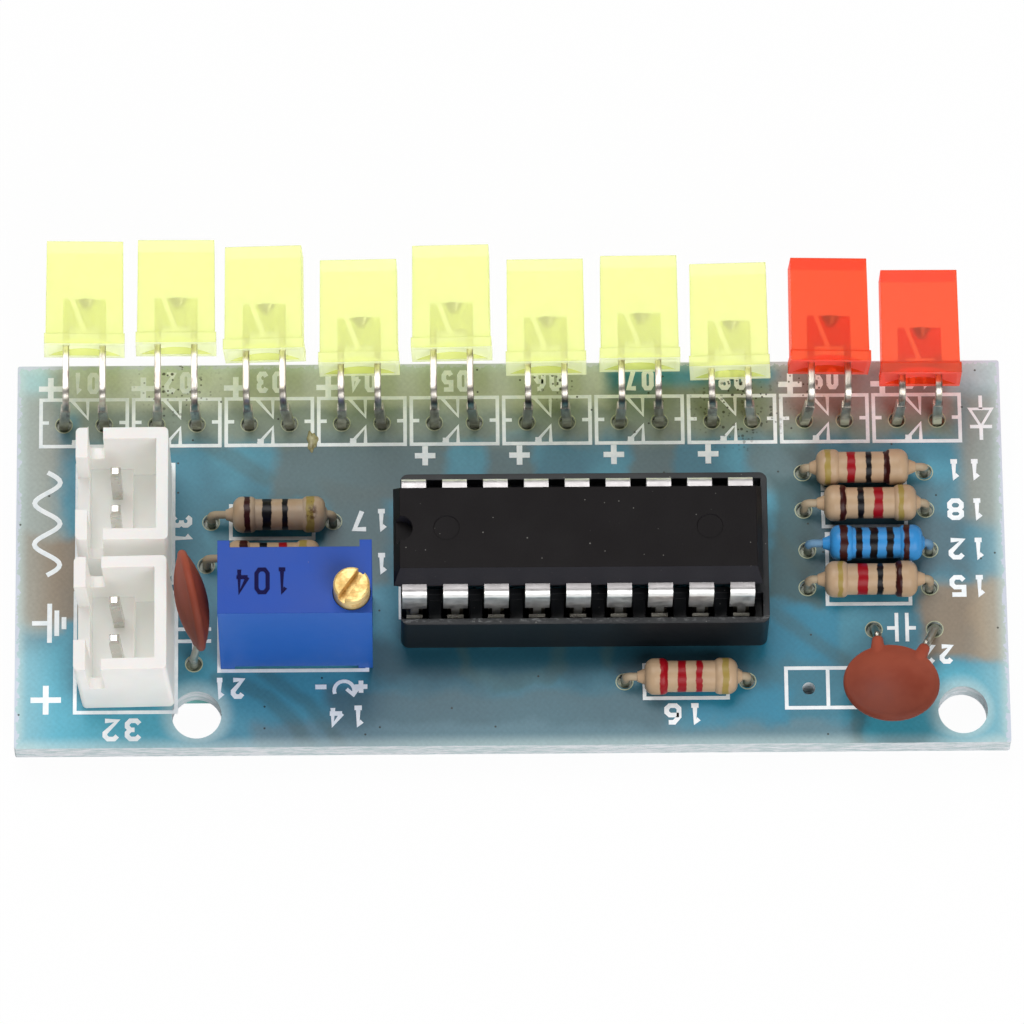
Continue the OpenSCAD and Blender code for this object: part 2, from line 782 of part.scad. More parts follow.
// Body of one resistor. Each neck stops where its lead begins to bend down
module resistor_body(n) {
    tint = n == 2 ? [0.3, 0.55, 0.85] : [0.83, 0.72, 0.55];
    shift = resistor_shift[resistor_index(n)];
    straight = resistor_span / 2 - resistor_bend_r - resistor_len / 2;
    color(tint) placed() resistor_pose(n) translate([shift, 0, 0])
        rotate([0, 90, 0]) difference() {
            union() {
                cylinder(d = resistor_waist_d, h = resistor_len - resistor_end_len, center = true);
                for (side = [0, 1]) {
                    mirror([0, 0, side]) translate([0, 0, resistor_len / 2 - resistor_end_len])
                        resistor_end(max(eps, min(resistor_neck_len,
                            straight - (1 - 2 * side) * shift)));
                }
            }
            cylinder(d = wire_d, h = 2 * resistor_len, center = true);
        }
}

// Two bent leads; the straight run passes right through the body, as the cap wires do
module resistor_leads(n) {
    run = resistor_span / 2 - resistor_bend_r;
    drop = resistor_bend_r - resistor_h + wire_trim * wire_d;
    color([0.7, 0.68, 0.62]) placed() {
        resistor_pose(n) {
            translate([-run, 0, 0]) rotate([0, 90, 0]) cylinder(d = wire_d, h = 2 * run);
            for (side = [0, 1]) {
                mirror([side, 0, 0]) translate([run, 0, -resistor_bend_r]) {
                    rotate([90, 0, 0]) rotate_extrude(angle = 90)
                        translate([resistor_bend_r, 0]) circle(d = wire_d);
                    translate([resistor_bend_r, 0, drop]) cylinder(d = wire_d, h = -drop);
                }
            }
        }
        at_resistor_holes(n) {
            round_stub();
            sphere(d = wire_d * wire_knee);
        }
    }
}

// Capacitors: a lens-shaped disc with two shoulders running onto its leads
module disc_body(d) {
    rim_x = d / 2 - disc_rim_t / 2;
    sag = (disc_t - disc_rim_t) / 2;
    face_r = (rim_x * rim_x + sag * sag) / 2 / sag;
    rotate_extrude() {
        intersection() {
            translate([0, disc_t / 2 - face_r]) circle(face_r, $fn = 200);
            translate([0, face_r - disc_t / 2]) circle(face_r, $fn = 200);
            translate([0, -disc_t]) square([rim_x - eps, 2 * disc_t]);
        }
        translate([rim_x - eps / 2, 0]) circle(d = disc_rim_t + eps);
    }
    for (side = [-1, 1]) {
        disc_root(d, side);
    }
}

function disc_root_tip(d, side) = [side * (disc_root_gap / 2 + 0.15),
    sqrt(pow(d / 2, 2) - pow(disc_root_gap / 2, 2)) + disc_root_len, 0];
function disc_root_start(d, side) = [side * (disc_root_gap / 2 - 0.25),
    sqrt(pow(d / 2, 2) - pow(disc_root_gap / 2, 2)) - disc_root_depth, 0];

module disc_root(d, side) {
    from = disc_root_start(d, side);
    to = disc_root_tip(d, side);
    step = to - from;
    translate(from) rotate([0, 90, atan2(step[1], step[0])])
        cylinder(r1 = disc_root_r, r2 = disc_root_tip_r, h = norm(step));
}

// The disc's own plane is XY, its leads leave along +Y
module disc_pose(n) {
    if (n == 1) {
        translate([capacitor_1_at[0], capacitor_1_at[1], disc_1_h])
            rotate([0, 0, disc_1_turn]) rotate([-90, 0, 0]) children();
    } else {
        translate([capacitor_2_at[0] + disc_2_shift[0], capacitor_2_at[1] + disc_2_shift[1],
            disc_2_h]) rotate([-disc_2_slope, 0, 0]) rotate([0, 0, disc_2_turn]) children();
    }
}

module capacitor_disc(n) {
    color([0.62, 0.25, 0.17]) placed() disc_pose(n) disc_body(n == 1 ? disc_1_d : disc_2_d);
}

// A point of the disc's own frame in board coordinates
function turn_x(v, a) = [v[0], v[1] * cos(a) - v[2] * sin(a), v[1] * sin(a) + v[2] * cos(a)];
function turn_z(v, a) = [v[0] * cos(a) - v[1] * sin(a), v[0] * sin(a) + v[1] * cos(a), v[2]];
function disc_point(n, v) = n == 1
    ? [capacitor_1_at[0], capacitor_1_at[1], disc_1_h] + turn_z(turn_x(v, -90), disc_1_turn)
    : [capacitor_2_at[0] + disc_2_shift[0], capacitor_2_at[1] + disc_2_shift[1], disc_2_h]
        + turn_x(turn_z(v, disc_2_turn), -disc_2_slope);
// On the upright disc the shoulder at -X stands over the hole at +Y
function capacitor_hole(n, side) = n == 1
    ? [capacitor_1_at[0], capacitor_1_at[1] + side * capacitor_span / 2, 0]
    : [capacitor_2_at[0] + side * capacitor_span / 2, capacitor_2_at[1], 0];

module capacitor_leads(n) {
    d = n == 1 ? disc_1_d : disc_2_d;
    rise = n == 1 ? 0.9 : 0.2;
    color([0.7, 0.68, 0.62]) placed() for (side = [-1, 1]) {
        hole = capacitor_hole(n, side);
        tip = disc_root_tip(d, side);
        out = (tip - disc_root_start(d, side)) / norm(tip - disc_root_start(d, side));
        wire_run([[hole[0], hole[1], tip_z], hole + [0, 0, rise],
            disc_point(n, tip + out * disc_lead_start), disc_point(n, tip)], wire_d);
    }
}

circuit_board();
solder_joints();
ic_socket();
socket_contacts();
ic_package();
ic_leads();
input_header();
input_pins();
power_header();
power_pins();
trimmer_housing();
trimmer_pins();
trimmer_screw();
for (i = LEDS) led_lens(i);
for (i = LEDS) led_leads(i);
for (n = RESISTORS) resistor_body(n);
for (n = RESISTORS) resistor_leads(n);
for (n = CAPACITORS) capacitor_disc(n);
for (n = CAPACITORS) capacitor_leads(n);
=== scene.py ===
"""Looks of the assembled level meter board: camera, light, materials, print, tracks and dirt.

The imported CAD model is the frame. Places are in millimetres in the board's own axes, as in the
part's source: X along the lamp row, Y towards the lamp tips, Z up, with zero at the middle of the
board's top face. place() turns them into metres in the frame.
"""

import math

import bmesh
import bpy
from mathutils import Matrix, Vector


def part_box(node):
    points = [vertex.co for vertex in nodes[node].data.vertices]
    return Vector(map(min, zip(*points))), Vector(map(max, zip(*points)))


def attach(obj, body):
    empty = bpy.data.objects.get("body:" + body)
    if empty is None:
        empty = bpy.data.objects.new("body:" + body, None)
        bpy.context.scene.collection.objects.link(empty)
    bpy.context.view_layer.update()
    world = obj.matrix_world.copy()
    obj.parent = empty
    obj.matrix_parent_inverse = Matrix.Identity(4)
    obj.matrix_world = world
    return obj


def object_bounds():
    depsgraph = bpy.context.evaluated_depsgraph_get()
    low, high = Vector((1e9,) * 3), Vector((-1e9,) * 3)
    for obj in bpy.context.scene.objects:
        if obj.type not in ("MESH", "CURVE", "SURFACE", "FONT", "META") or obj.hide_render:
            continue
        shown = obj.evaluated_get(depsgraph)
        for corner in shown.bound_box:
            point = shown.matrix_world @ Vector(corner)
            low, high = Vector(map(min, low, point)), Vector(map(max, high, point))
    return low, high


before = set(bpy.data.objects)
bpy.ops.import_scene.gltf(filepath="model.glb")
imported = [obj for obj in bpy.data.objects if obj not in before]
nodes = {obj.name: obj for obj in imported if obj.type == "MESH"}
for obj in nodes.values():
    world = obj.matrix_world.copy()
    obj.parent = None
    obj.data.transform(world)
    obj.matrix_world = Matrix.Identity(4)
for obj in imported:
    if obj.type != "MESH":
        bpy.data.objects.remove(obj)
cad_low, cad_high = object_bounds()

MM = 0.001
IMAGE_WIDTH = 1024

board_low, board_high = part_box("circuit_board")
ORIGIN = Vector(((board_low.x + board_high.x) / 2, (board_low.y + board_high.y) / 2, board_high.z))
BOARD_W = (board_high.x - board_low.x) / MM
BOARD_D = (board_high.y - board_low.y) / MM
BOARD_T = (board_high.z - board_low.z) / MM
FLOOR_Z = cad_low.z

LAMPS = range(1, 11)
FIRST_RED_LAMP = 9


def place(x, y, z=0.0):
    """Point of the frame, in metres, for a point in board millimetres."""
    return ORIGIN + Vector((x, y, z)) * MM


def extent(node):
    """Lowest and highest corner of a CAD node in board millimetres."""
    low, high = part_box(node)
    return (low - ORIGIN) / MM, (high - ORIGIN) / MM


def srgb(red, green, blue):
    """Linear colour for a colour written as 0 to 255 on a screen."""
    def linear(level):
        level /= 255
        return level / 12.92 if level <= 0.04045 else ((level + 0.055) / 1.055) ** 2.4

    return (linear(red), linear(green), linear(blue), 1.0)


# Camera, as measured from the photograph: angles in degrees, distance in millimetres

CAMERA_ELEVATION = 69.1984
CAMERA_TURN = -2.2522
CAMERA_ROLL = 1.7219
CAMERA_DISTANCE = 534.848
CAMERA_TARGET = (0.104, 2.740, 0.0)
FOCAL_PIXELS = 8504.47
SENSOR_WIDTH = 36.0


def make_camera():
    elevation, turn, roll = (math.radians(a) for a in (CAMERA_ELEVATION, CAMERA_TURN, CAMERA_ROLL))
    back = Vector((math.sin(turn) * math.cos(elevation),
                   -math.cos(turn) * math.cos(elevation), math.sin(elevation)))
    level = Vector((math.cos(turn), math.sin(turn), 0))
    upright = back.cross(level)
    right = level * math.cos(roll) + upright * math.sin(roll)
    up = upright * math.cos(roll) - level * math.sin(roll)
    data = bpy.data.cameras.new("camera")
    data.sensor_width = SENSOR_WIDTH
    data.lens = FOCAL_PIXELS / IMAGE_WIDTH * SENSOR_WIDTH
    data.clip_start, data.clip_end = 0.01, 10
    camera = bpy.data.objects.new("camera", data)
    position = place(*CAMERA_TARGET) + back * CAMERA_DISTANCE * MM
    camera.matrix_world = (Matrix.Translation(position)
                           @ Matrix((right, up, back)).transposed().to_4x4())
    bpy.context.scene.collection.objects.link(camera)
    bpy.context.scene.camera = camera


# Light and floor

SKY_LEVEL = 1.12
HORIZON_LEVEL = 1.5
FLOOR_GLOW = 0.97
FLOOR_SIZE = 3.0
SOFTBOX_SIZE = 0.5
SOFTBOX_POWER = 3.4
KEY_PLACE = (-0.16, 0.30, 0.62)
FILL_PLACE = (0.22, -0.46, 0.40)


def add_softbox(name, position):
    """Square area lamp that looks at the board."""
    data = bpy.data.lights.new(name, "AREA")
    data.shape = "SQUARE"
    data.size = SOFTBOX_SIZE
    data.energy = SOFTBOX_POWER
    lamp = bpy.data.objects.new(name, data)
    lamp.location = position
    lamp.rotation_mode = "QUATERNION"
    lamp.rotation_quaternion = (ORIGIN - Vector(position)).to_track_quat("-Z", "Y")
    bpy.context.scene.collection.objects.link(lamp)


def make_light():
    """Soft light tent: brightest at the walls, with a key and a fill lamp above."""
    scene = bpy.context.scene
    scene.view_settings.view_transform = "Standard"
    scene.world = bpy.data.worlds.new("studio")
    scene.world.use_nodes = True
    tree = scene.world.node_tree
    lit, output = tree.nodes["Background"], tree.nodes["World Output"]
    direction, axes, rise, white, choose, path = (
        tree.nodes.new("ShaderNode" + kind)
        for kind in ("TexCoord", "SeparateXYZ", "MapRange", "Background", "MixShader", "LightPath"))
    for name, number in (("From Min", -0.1), ("From Max", 0.9),
                         ("To Min", HORIZON_LEVEL), ("To Max", SKY_LEVEL)):
        rise.inputs[name].default_value = number
    for source, target in ((direction.outputs["Generated"], axes.inputs[0]),
                           (axes.outputs["Z"], rise.inputs["Value"]),
                           (rise.outputs[0], lit.inputs["Strength"]),
                           (path.outputs["Is Camera Ray"], choose.inputs[0]),
                           (lit.outputs[0], choose.inputs[1]),
                           (white.outputs[0], choose.inputs[2]),
                           (choose.outputs[0], output.inputs["Surface"])):
        tree.links.new(source, target)
    add_softbox("key", KEY_PLACE)
    add_softbox("fill", FILL_PLACE)


def make_floor():
    """White sweep under the board. It looks white, keeps the board's shadow, and can't be seen
    from below."""
    mesh = bpy.data.meshes.new("floor")
    corners = [(x * FLOOR_SIZE, y * FLOOR_SIZE, FLOOR_Z)
               for x, y in ((-1, -1), (1, -1), (1, 1), (-1, 1))]
    mesh.from_pydata(corners, [], [(0, 1, 2, 3)])
    floor = bpy.data.objects.new("floor", mesh)
    bpy.context.scene.collection.objects.link(floor)
    paper = Finish("floor_paper", Base_Color=(0.9, 0.9, 0.9, 1), Roughness=0.9,
                   Specular_IOR_Level=0.1)
    rays = paper.add("LightPath").outputs
    seen = paper.most(rays["Is Camera Ray"], rays["Is Glossy Ray"], rays["Is Transmission Ray"])
    white = paper.layer(paper.math("MULTIPLY", seen, FLOOR_GLOW), paper.shader.outputs[0],
                        paper.add("Emission").outputs[0])
    paper.show(paper.layer(paper.add("NewGeometry").outputs["Backfacing"], white,
                           paper.add("BsdfTransparent").outputs[0]))
    mesh.materials.append(paper.material)


class Finish:
    """A node material. Its x, y, z and point are object places in board millimetres."""

    def __init__(self, name, **settings):
        self.material = bpy.data.materials.new(name)
        self.material.use_nodes = True
        # The glows are too faint to be worth light samples of their own
        self.material.cycles.emission_sampling = "NONE"
        self.tree = self.material.node_tree
        self.shader = self.tree.nodes["Principled BSDF"]
        for socket, value in settings.items():
            self.shader.inputs[socket.replace("_", " ")].default_value = value
        self.point = self.vector("MULTIPLY_ADD", self.add("TexCoord").outputs["Object"],
                                 (1 / MM,) * 3, tuple(-ORIGIN / MM))
        self.x, self.y, self.z = self.split(self.point)

    def add(self, kind):
        return self.tree.nodes.new("ShaderNode" + kind)

    def feed(self, socket, value):
        if isinstance(value, bpy.types.NodeSocket):
            self.tree.links.new(value, socket)
        elif value is not None:
            socket.default_value = value

    def fill(self, node, *values):
        """Feeds a node's sockets in their order."""
        for socket, value in zip(node.inputs, values):
            self.feed(socket, value)
        return node.outputs[0]

    def set(self, **sockets):
        for name, value in sockets.items():
            self.feed(self.shader.inputs[name.replace("_", " ")], value)

    def split(self, vector):
        axes = self.add("SeparateXYZ")
        self.fill(axes, vector)
        return axes.outputs

    def join(self, x, y, z=0.0):
        return self.fill(self.add("CombineXYZ"), x, y, z)

    def facing(self, axis=2):
        """One part of the surface's direction. By default 1 faces up and -1 faces down."""
        return self.split(self.add("NewGeometry").outputs["Normal"])[axis]

    def math(self, operation, first, second=None, third=None, clamp=False):
        node = self.add("Math")
        node.operation = operation
        node.use_clamp = clamp
        return self.fill(node, first, second, third)

    def vector(self, operation, first, second=None, third=None, scale=None):
        node = self.add("VectorMath")
        node.operation = operation
        self.fill(node, first, second, third)
        if scale is not None:
            self.feed(node.inputs["Scale"], scale)
        return node.outputs["Value" if operation in ("LENGTH", "DOT_PRODUCT") else "Vector"]

    def most(self, first, *others):
        for other in others:
            first = self.math("MAXIMUM", first, other)
        return first

    def step(self, value, start, end, low=0.0, high=1.0):
        """Smooth step from low at start to high at end."""
        node = self.add("MapRange")
        node.interpolation_type = "SMOOTHSTEP"
        if start > end:
            start, end, low, high = end, start, high, low
        return self.fill(node, value, start, end, low, high)

    def blend(self, share, first, second):
        """Number between two others."""
        return self.fill(self.add("MapRange"), share, 0, 1, first, second)

    def mix(self, share, first, second, amount=1.0):
        """Colour between two others."""
        if amount != 1.0:
            share = self.math("MULTIPLY", share, amount)
        node = self.add("Mix")
        node.data_type = "RGBA"
        self.feed(node.inputs["Factor"], share)
        colours = [s for s in node.inputs if s.type == "RGBA"]
        self.feed(colours[0], first)
        self.feed(colours[1], second)
        return next(s for s in node.outputs if s.type == "RGBA")

    def shade(self, colour, factor):
        """Colour made darker or lighter by a number."""
        first = colour[:3] if isinstance(colour, tuple) else colour
        return self.vector("SCALE", first, scale=factor)

    def noise(self, size, detail=3.0, rough=0.5, stretch=None, seed=0.0):
        """Noise from 0 to 1 with features of about size millimetres."""
        node = self.add("TexNoise")
        node.noise_dimensions = "4D"
        vector = self.vector("MULTIPLY", self.point, stretch) if stretch else self.point
        return self.fill(node, vector, seed, 1 / size, detail, rough)

    def speckle(self, size, share, seed=0.0, radius=0.2, flat=False):
        """Sparse round specks: about the given share of cells of that size holds one. Flat
        specks are the same at every height."""
        node = self.add("TexVoronoi")
        node.voronoi_dimensions = "2D" if flat else "3D"
        node.inputs["Scale"].default_value = 1 / size
        self.fill(node, self.vector("ADD", self.point, (seed,) * 3))
        near = self.step(node.outputs["Distance"], radius * 1.3, radius * 0.7)
        chosen = self.split(node.outputs["Color"])[0]
        return self.math("MULTIPLY", near, self.math("LESS_THAN", chosen, share))

    def grime(self):
        """Dark grains of dirt, sparse on the whole board and dense round some of the lamps."""
        sparse = self.speckle(0.9, 0.04, seed=101, radius=0.075, flat=True)
        dense = self.most(self.speckle(0.3, 0.4, seed=102, radius=0.21, flat=True),
                          self.speckle(0.6, 0.35, seed=103, radius=0.16, flat=True))
        dense = self.math("MULTIPLY", dense,
                          self.step(self.noise(0.9, 3, seed=104), 0.36, 0.54))
        for x, y, reach in DIRTY_PLACES:
            offset = self.vector("SUBTRACT", self.join(self.x, self.y), (x, y, 0))
            near = self.step(self.vector("LENGTH", offset), reach, reach * 0.3)
            sparse = self.most(sparse, self.math("MULTIPLY", dense, near))
        return sparse

    def bump(self, height, depth, strength=1.0):
        """Relief of the given depth in millimetres, on top of any made before."""
        node = self.add("Bump")
        node.inputs["Strength"].default_value = strength
        node.inputs["Distance"].default_value = depth * MM
        self.feed(node.inputs["Height"], height)
        self.turn_normal(node)

    def round_edges(self, radius):
        """Edges catch the light as if rounded by that radius in millimetres."""
        node = self.add("Bevel")
        node.samples = 4
        node.inputs["Radius"].default_value = radius * MM
        self.turn_normal(node)

    def turn_normal(self, node):
        normal = self.shader.inputs["Normal"]
        if normal.is_linked:
            self.tree.links.new(normal.links[0].from_socket, node.inputs["Normal"])
        self.tree.links.new(node.outputs[0], normal)

    def see_through(self, share, tint):
        """Lets part of the light straight through, coloured."""
        clear = self.fill(self.add("BsdfTransparent"), tint)
        self.show(self.layer(share, self.shader.outputs[0], clear))

    def layer(self, share, first, second):
        """Mix of two shaders."""
        return self.fill(self.add("MixShader"), share, first, second)

    def show(self, shader):
        self.feed(self.tree.nodes["Material Output"].inputs["Surface"], shader)

    def box_distance(self, x, y, x0, x1, y0, y1):
        """Distance outside a rectangle, less than zero inside."""
        reach = []
        for socket, low, high in ((x, x0, x1), (y, y0, y1)):
            offset = self.math("ABSOLUTE", self.math("SUBTRACT", socket, (low + high) / 2))
            reach.append(self.math("SUBTRACT", offset, (high - low) / 2))
        return self.most(*reach)

    def line_distance(self, flat, start, end):
        """Distance from a straight stretch on the board."""
        run = Vector((end[0] - start[0], end[1] - start[1], 0))
        offset = self.vector("SUBTRACT", flat, (start[0], start[1], 0))
        along = self.vector("DOT_PRODUCT", offset, tuple(run / run.length_squared))
        along = self.math("MULTIPLY", along, 1.0, clamp=True)
        nearest = self.vector("SCALE", tuple(run), scale=along)
        return self.vector("LENGTH", self.vector("SUBTRACT", offset, nearest))


def dress(material, *names):
    """Gives CAD nodes a material in every slot."""
    for name in names:
        mesh = nodes[name].data
        if not mesh.materials:
            mesh.materials.append(material)
        for index in range(len(mesh.materials)):
            mesh.materials[index] = material


def add_piece(name, shape, material):
    """New piece from a bmesh in board millimetres. It rides on the board."""
    bmesh.ops.recalc_face_normals(shape, faces=shape.faces)
    shape.transform(Matrix.Translation(ORIGIN) @ Matrix.Scale(MM, 4))
    mesh = bpy.data.meshes.new(name)
    shape.to_mesh(mesh)
    shape.free()
    mesh.materials.append(material)
    piece = bpy.data.objects.new(name, mesh)
    bpy.context.scene.collection.objects.link(piece)
    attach(piece, "board")


# Places of the leads and holes

LAMP_ROW_Y = 8.79
LAMP_PITCH = 5.842
LAMP_LEAD_PITCH = 2.54
CHIP_PITCH = 2.54
CHIP_ROW_GAP = 7.62
WIRE_R = 0.25
HOLE_R = 0.5
UPRIGHT_CAPACITOR_HOLES = ((-19.87, -7.265), (-19.87, -3.455))
LEANING_CAPACITOR_HOLES = ((22.665, -5.3), (26.475, -5.3))
chip_middle = sum(extent("ic_leads"), Vector()) / 2


def lamp_x(lamp):
    return (lamp - 5.5) * LAMP_PITCH - 0.541


def lamp_lead(lamp, side):
    return (lamp_x(lamp) + side * LAMP_LEAD_PITCH / 2, LAMP_ROW_Y)


def chip_pin(number):
    """Pins 1 to 9 run along the front row from the notch, 10 to 18 back along the other."""
    column, row = (number - 1, -1) if number < 10 else (18 - number, 1)
    return (chip_middle.x + (column - 4) * CHIP_PITCH, chip_middle.y + row * CHIP_ROW_GAP / 2)


def resistor_holes(number):
    """Places of a resistor's two holes."""
    low, high = extent(f"resistor_leads_{number}")
    y = (low.y + high.y) / 2
    return (low.x + WIRE_R, y), (high.x - WIRE_R, y)


# Board: the copper of its underside shows through it as patches; other patches are painted light
# from below and from the lamps, and painted shade

SCREW_HOLES = ((-19.7, -10.65), (28.1, -10.65))
SCREW_HOLE_R = 1.55

TEAL = srgb(56, 118, 138)
BRIGHT_TEAL = srgb(72, 144, 166)
STRONG_TEAL = srgb(40, 130, 160)
SKY_TEAL = srgb(60, 130, 152)
# Painted light on the board in front of the leaning capacitor, where its shadow falls
LIT_TEAL = srgb(72, 168, 192)
# Painted light: paler cyan at the front corners and edges, standing for light from below
PAINTED_UNDERLIGHT_CYAN = srgb(84, 170, 192)
# Painted shade on the board in front of the socket
PAINTED_SOCKET_SHADE = srgb(24, 68, 84)
BOTTLE = srgb(56, 88, 92)
GREY = srgb(88, 108, 110)
SLATE = srgb(78, 106, 116)
SILVER = srgb(92, 126, 138)
OLIVE = srgb(132, 140, 122)
# Copper pour behind the lamps, painted paler with the light that the lamps pass on to the board
COPPER_WITH_PAINTED_LAMPLIGHT = srgb(190, 194, 174)
COPPER_WITH_BRIGHT_PAINTED_LAMPLIGHT = srgb(214, 220, 206)
# Painted light at the back corners, standing for light from below
PAINTED_CORNER_LIGHT_CYAN = srgb(160, 206, 210)
PAINTED_CORNER_LIGHT_MIST = srgb(176, 196, 200)
# Copper pour behind the red lamps, with their light painted on it in pink
COPPER_WITH_PAINTED_RED_LAMPLIGHT = srgb(150, 141, 138)
BROWN = srgb(140, 120, 96)
SAND = srgb(158, 158, 146)
DULL_SAND = srgb(136, 134, 122)
TAN = srgb(158, 134, 104)
PAINTED_EDGE_LIGHT = srgb(196, 216, 214)
CUT_EDGE = srgb(232, 234, 238)

# Each patch: colour, x from and to, y from and to, softness
PATCHES = (
    (GREY, -14.8, -4.0, 3.4, 7.8, 0.5), (GREY, -1.6, 1.4, 3.0, 7.6, 0.4),
    (GREY, 7.6, 10.4, 3.0, 7.6, 0.4), (GREY, 15.2, 19.6, 4.4, 7.4, 0.6),
    (GREY, -11.5, -7.6, -2.0, 4.6, 0.6), (SKY_TEAL, -22.6, -19.4, -1.6, 7.4, 0.5),
    (SLATE, 17.5, 27.5, -1.6, 4.4, 1.2), (BOTTLE, 16.2, 19.4, -3.6, 5.2, 0.5),
    (SKY_TEAL, 22.4, 28.0, 6.2, 7.6, 0.5), (STRONG_TEAL, 15.8, 20.4, -7.4, -3.6, 0.5),
    (OLIVE, -27.5, 28.2, 7.6, 11.0, 0.8), (COPPER_WITH_PAINTED_LAMPLIGHT, -28.0, 6.0, 9.9, 13.6, 0.7),
    (COPPER_WITH_BRIGHT_PAINTED_LAMPLIGHT, -29.4, -18.0, 10.6, 13.6, 0.9), (OLIVE, 9.0, 17.0, 8.0, 11.4, 0.8),
    (COPPER_WITH_PAINTED_RED_LAMPLIGHT, 16.8, 27.6, 9.2, 13.6, 0.8), (SLATE, -11.5, 9.6, -14.0, -9.0, 0.7),
    (SILVER, -16.0, 21.6, -14.0, -11.4, 0.5), (STRONG_TEAL, 11.2, 17.0, -11.3, -8.9, 0.7),
    (LIT_TEAL, 22.2, 27.0, -14.0, -10.6, 0.6), (PAINTED_UNDERLIGHT_CYAN, -32.0, -20.2, -14.0, -9.6, 1.6),
    (PAINTED_UNDERLIGHT_CYAN, -32.0, -28.0, -14.0, -6.0, 1.2), (PAINTED_UNDERLIGHT_CYAN, 25.6, 32.0, -14.0, -7.8, 1.0),
    (SAND, -32.0, -28.3, -4.9, 13.6, 0.8), (DULL_SAND, 28.4, 32.0, 2.0, 10.8, 0.9),
    (PAINTED_CORNER_LIGHT_MIST, 27.6, 32.0, 10.8, 13.6, 0.8), (PAINTED_CORNER_LIGHT_CYAN, -32.0, -29.0, 10.8, 13.6, 0.8),
    (SLATE, 24.8, 28.8, -1.6, 2.0, 0.8), (BROWN, -31.0, -26.6, -4.4, 1.4, 0.5),
    (BROWN, 25.5, 32.0, -7.2, -2.1, 0.5), (TAN, 29.0, 32.0, -7.0, -2.0, 0.8),
    (PAINTED_SOCKET_SHADE, -9.0, 15.6, -8.7, -5.6, 1.1),
)
DIRT = srgb(38, 36, 26)
DIRTY_PLACES = ((14.6, 9.9, 4.2), (-21.0, 11.6, 3.4), (18.6, 11.4, 2.2), (3.0, 11.8, 2.0))
SHADE = srgb(66, 88, 84)
# Each track that shows through: its width, then its corners
SHADOW_TRACKS = (
    (0.8, (-3.0, -5.6), (-3.0, -7.8), (-2.0, -8.5), (2.2, -8.5), (3.1, -7.7), (3.1, -5.6)),
    (1.0, (-18.6, -8.1), (-15.6, -9.2), (-13.4, -11.4), (-12.6, -13.2)),
    (0.8, (-15.4, -8.0), (-12.6, -10.0), (-10.4, -13.2)), (0.7, (6.3, -6.0), (6.3, -7.6)),
    (0.7, (16.4, 1.4), (18.6, -1.4)), (0.9, (16.6, -4.2), (21.6, -8.0), (21.6, -12.8)),
    (1.1, (-19.2, 7.6), (-15.2, 5.0)), (0.9, (16.8, 7.8), (19.4, 5.6)),
)


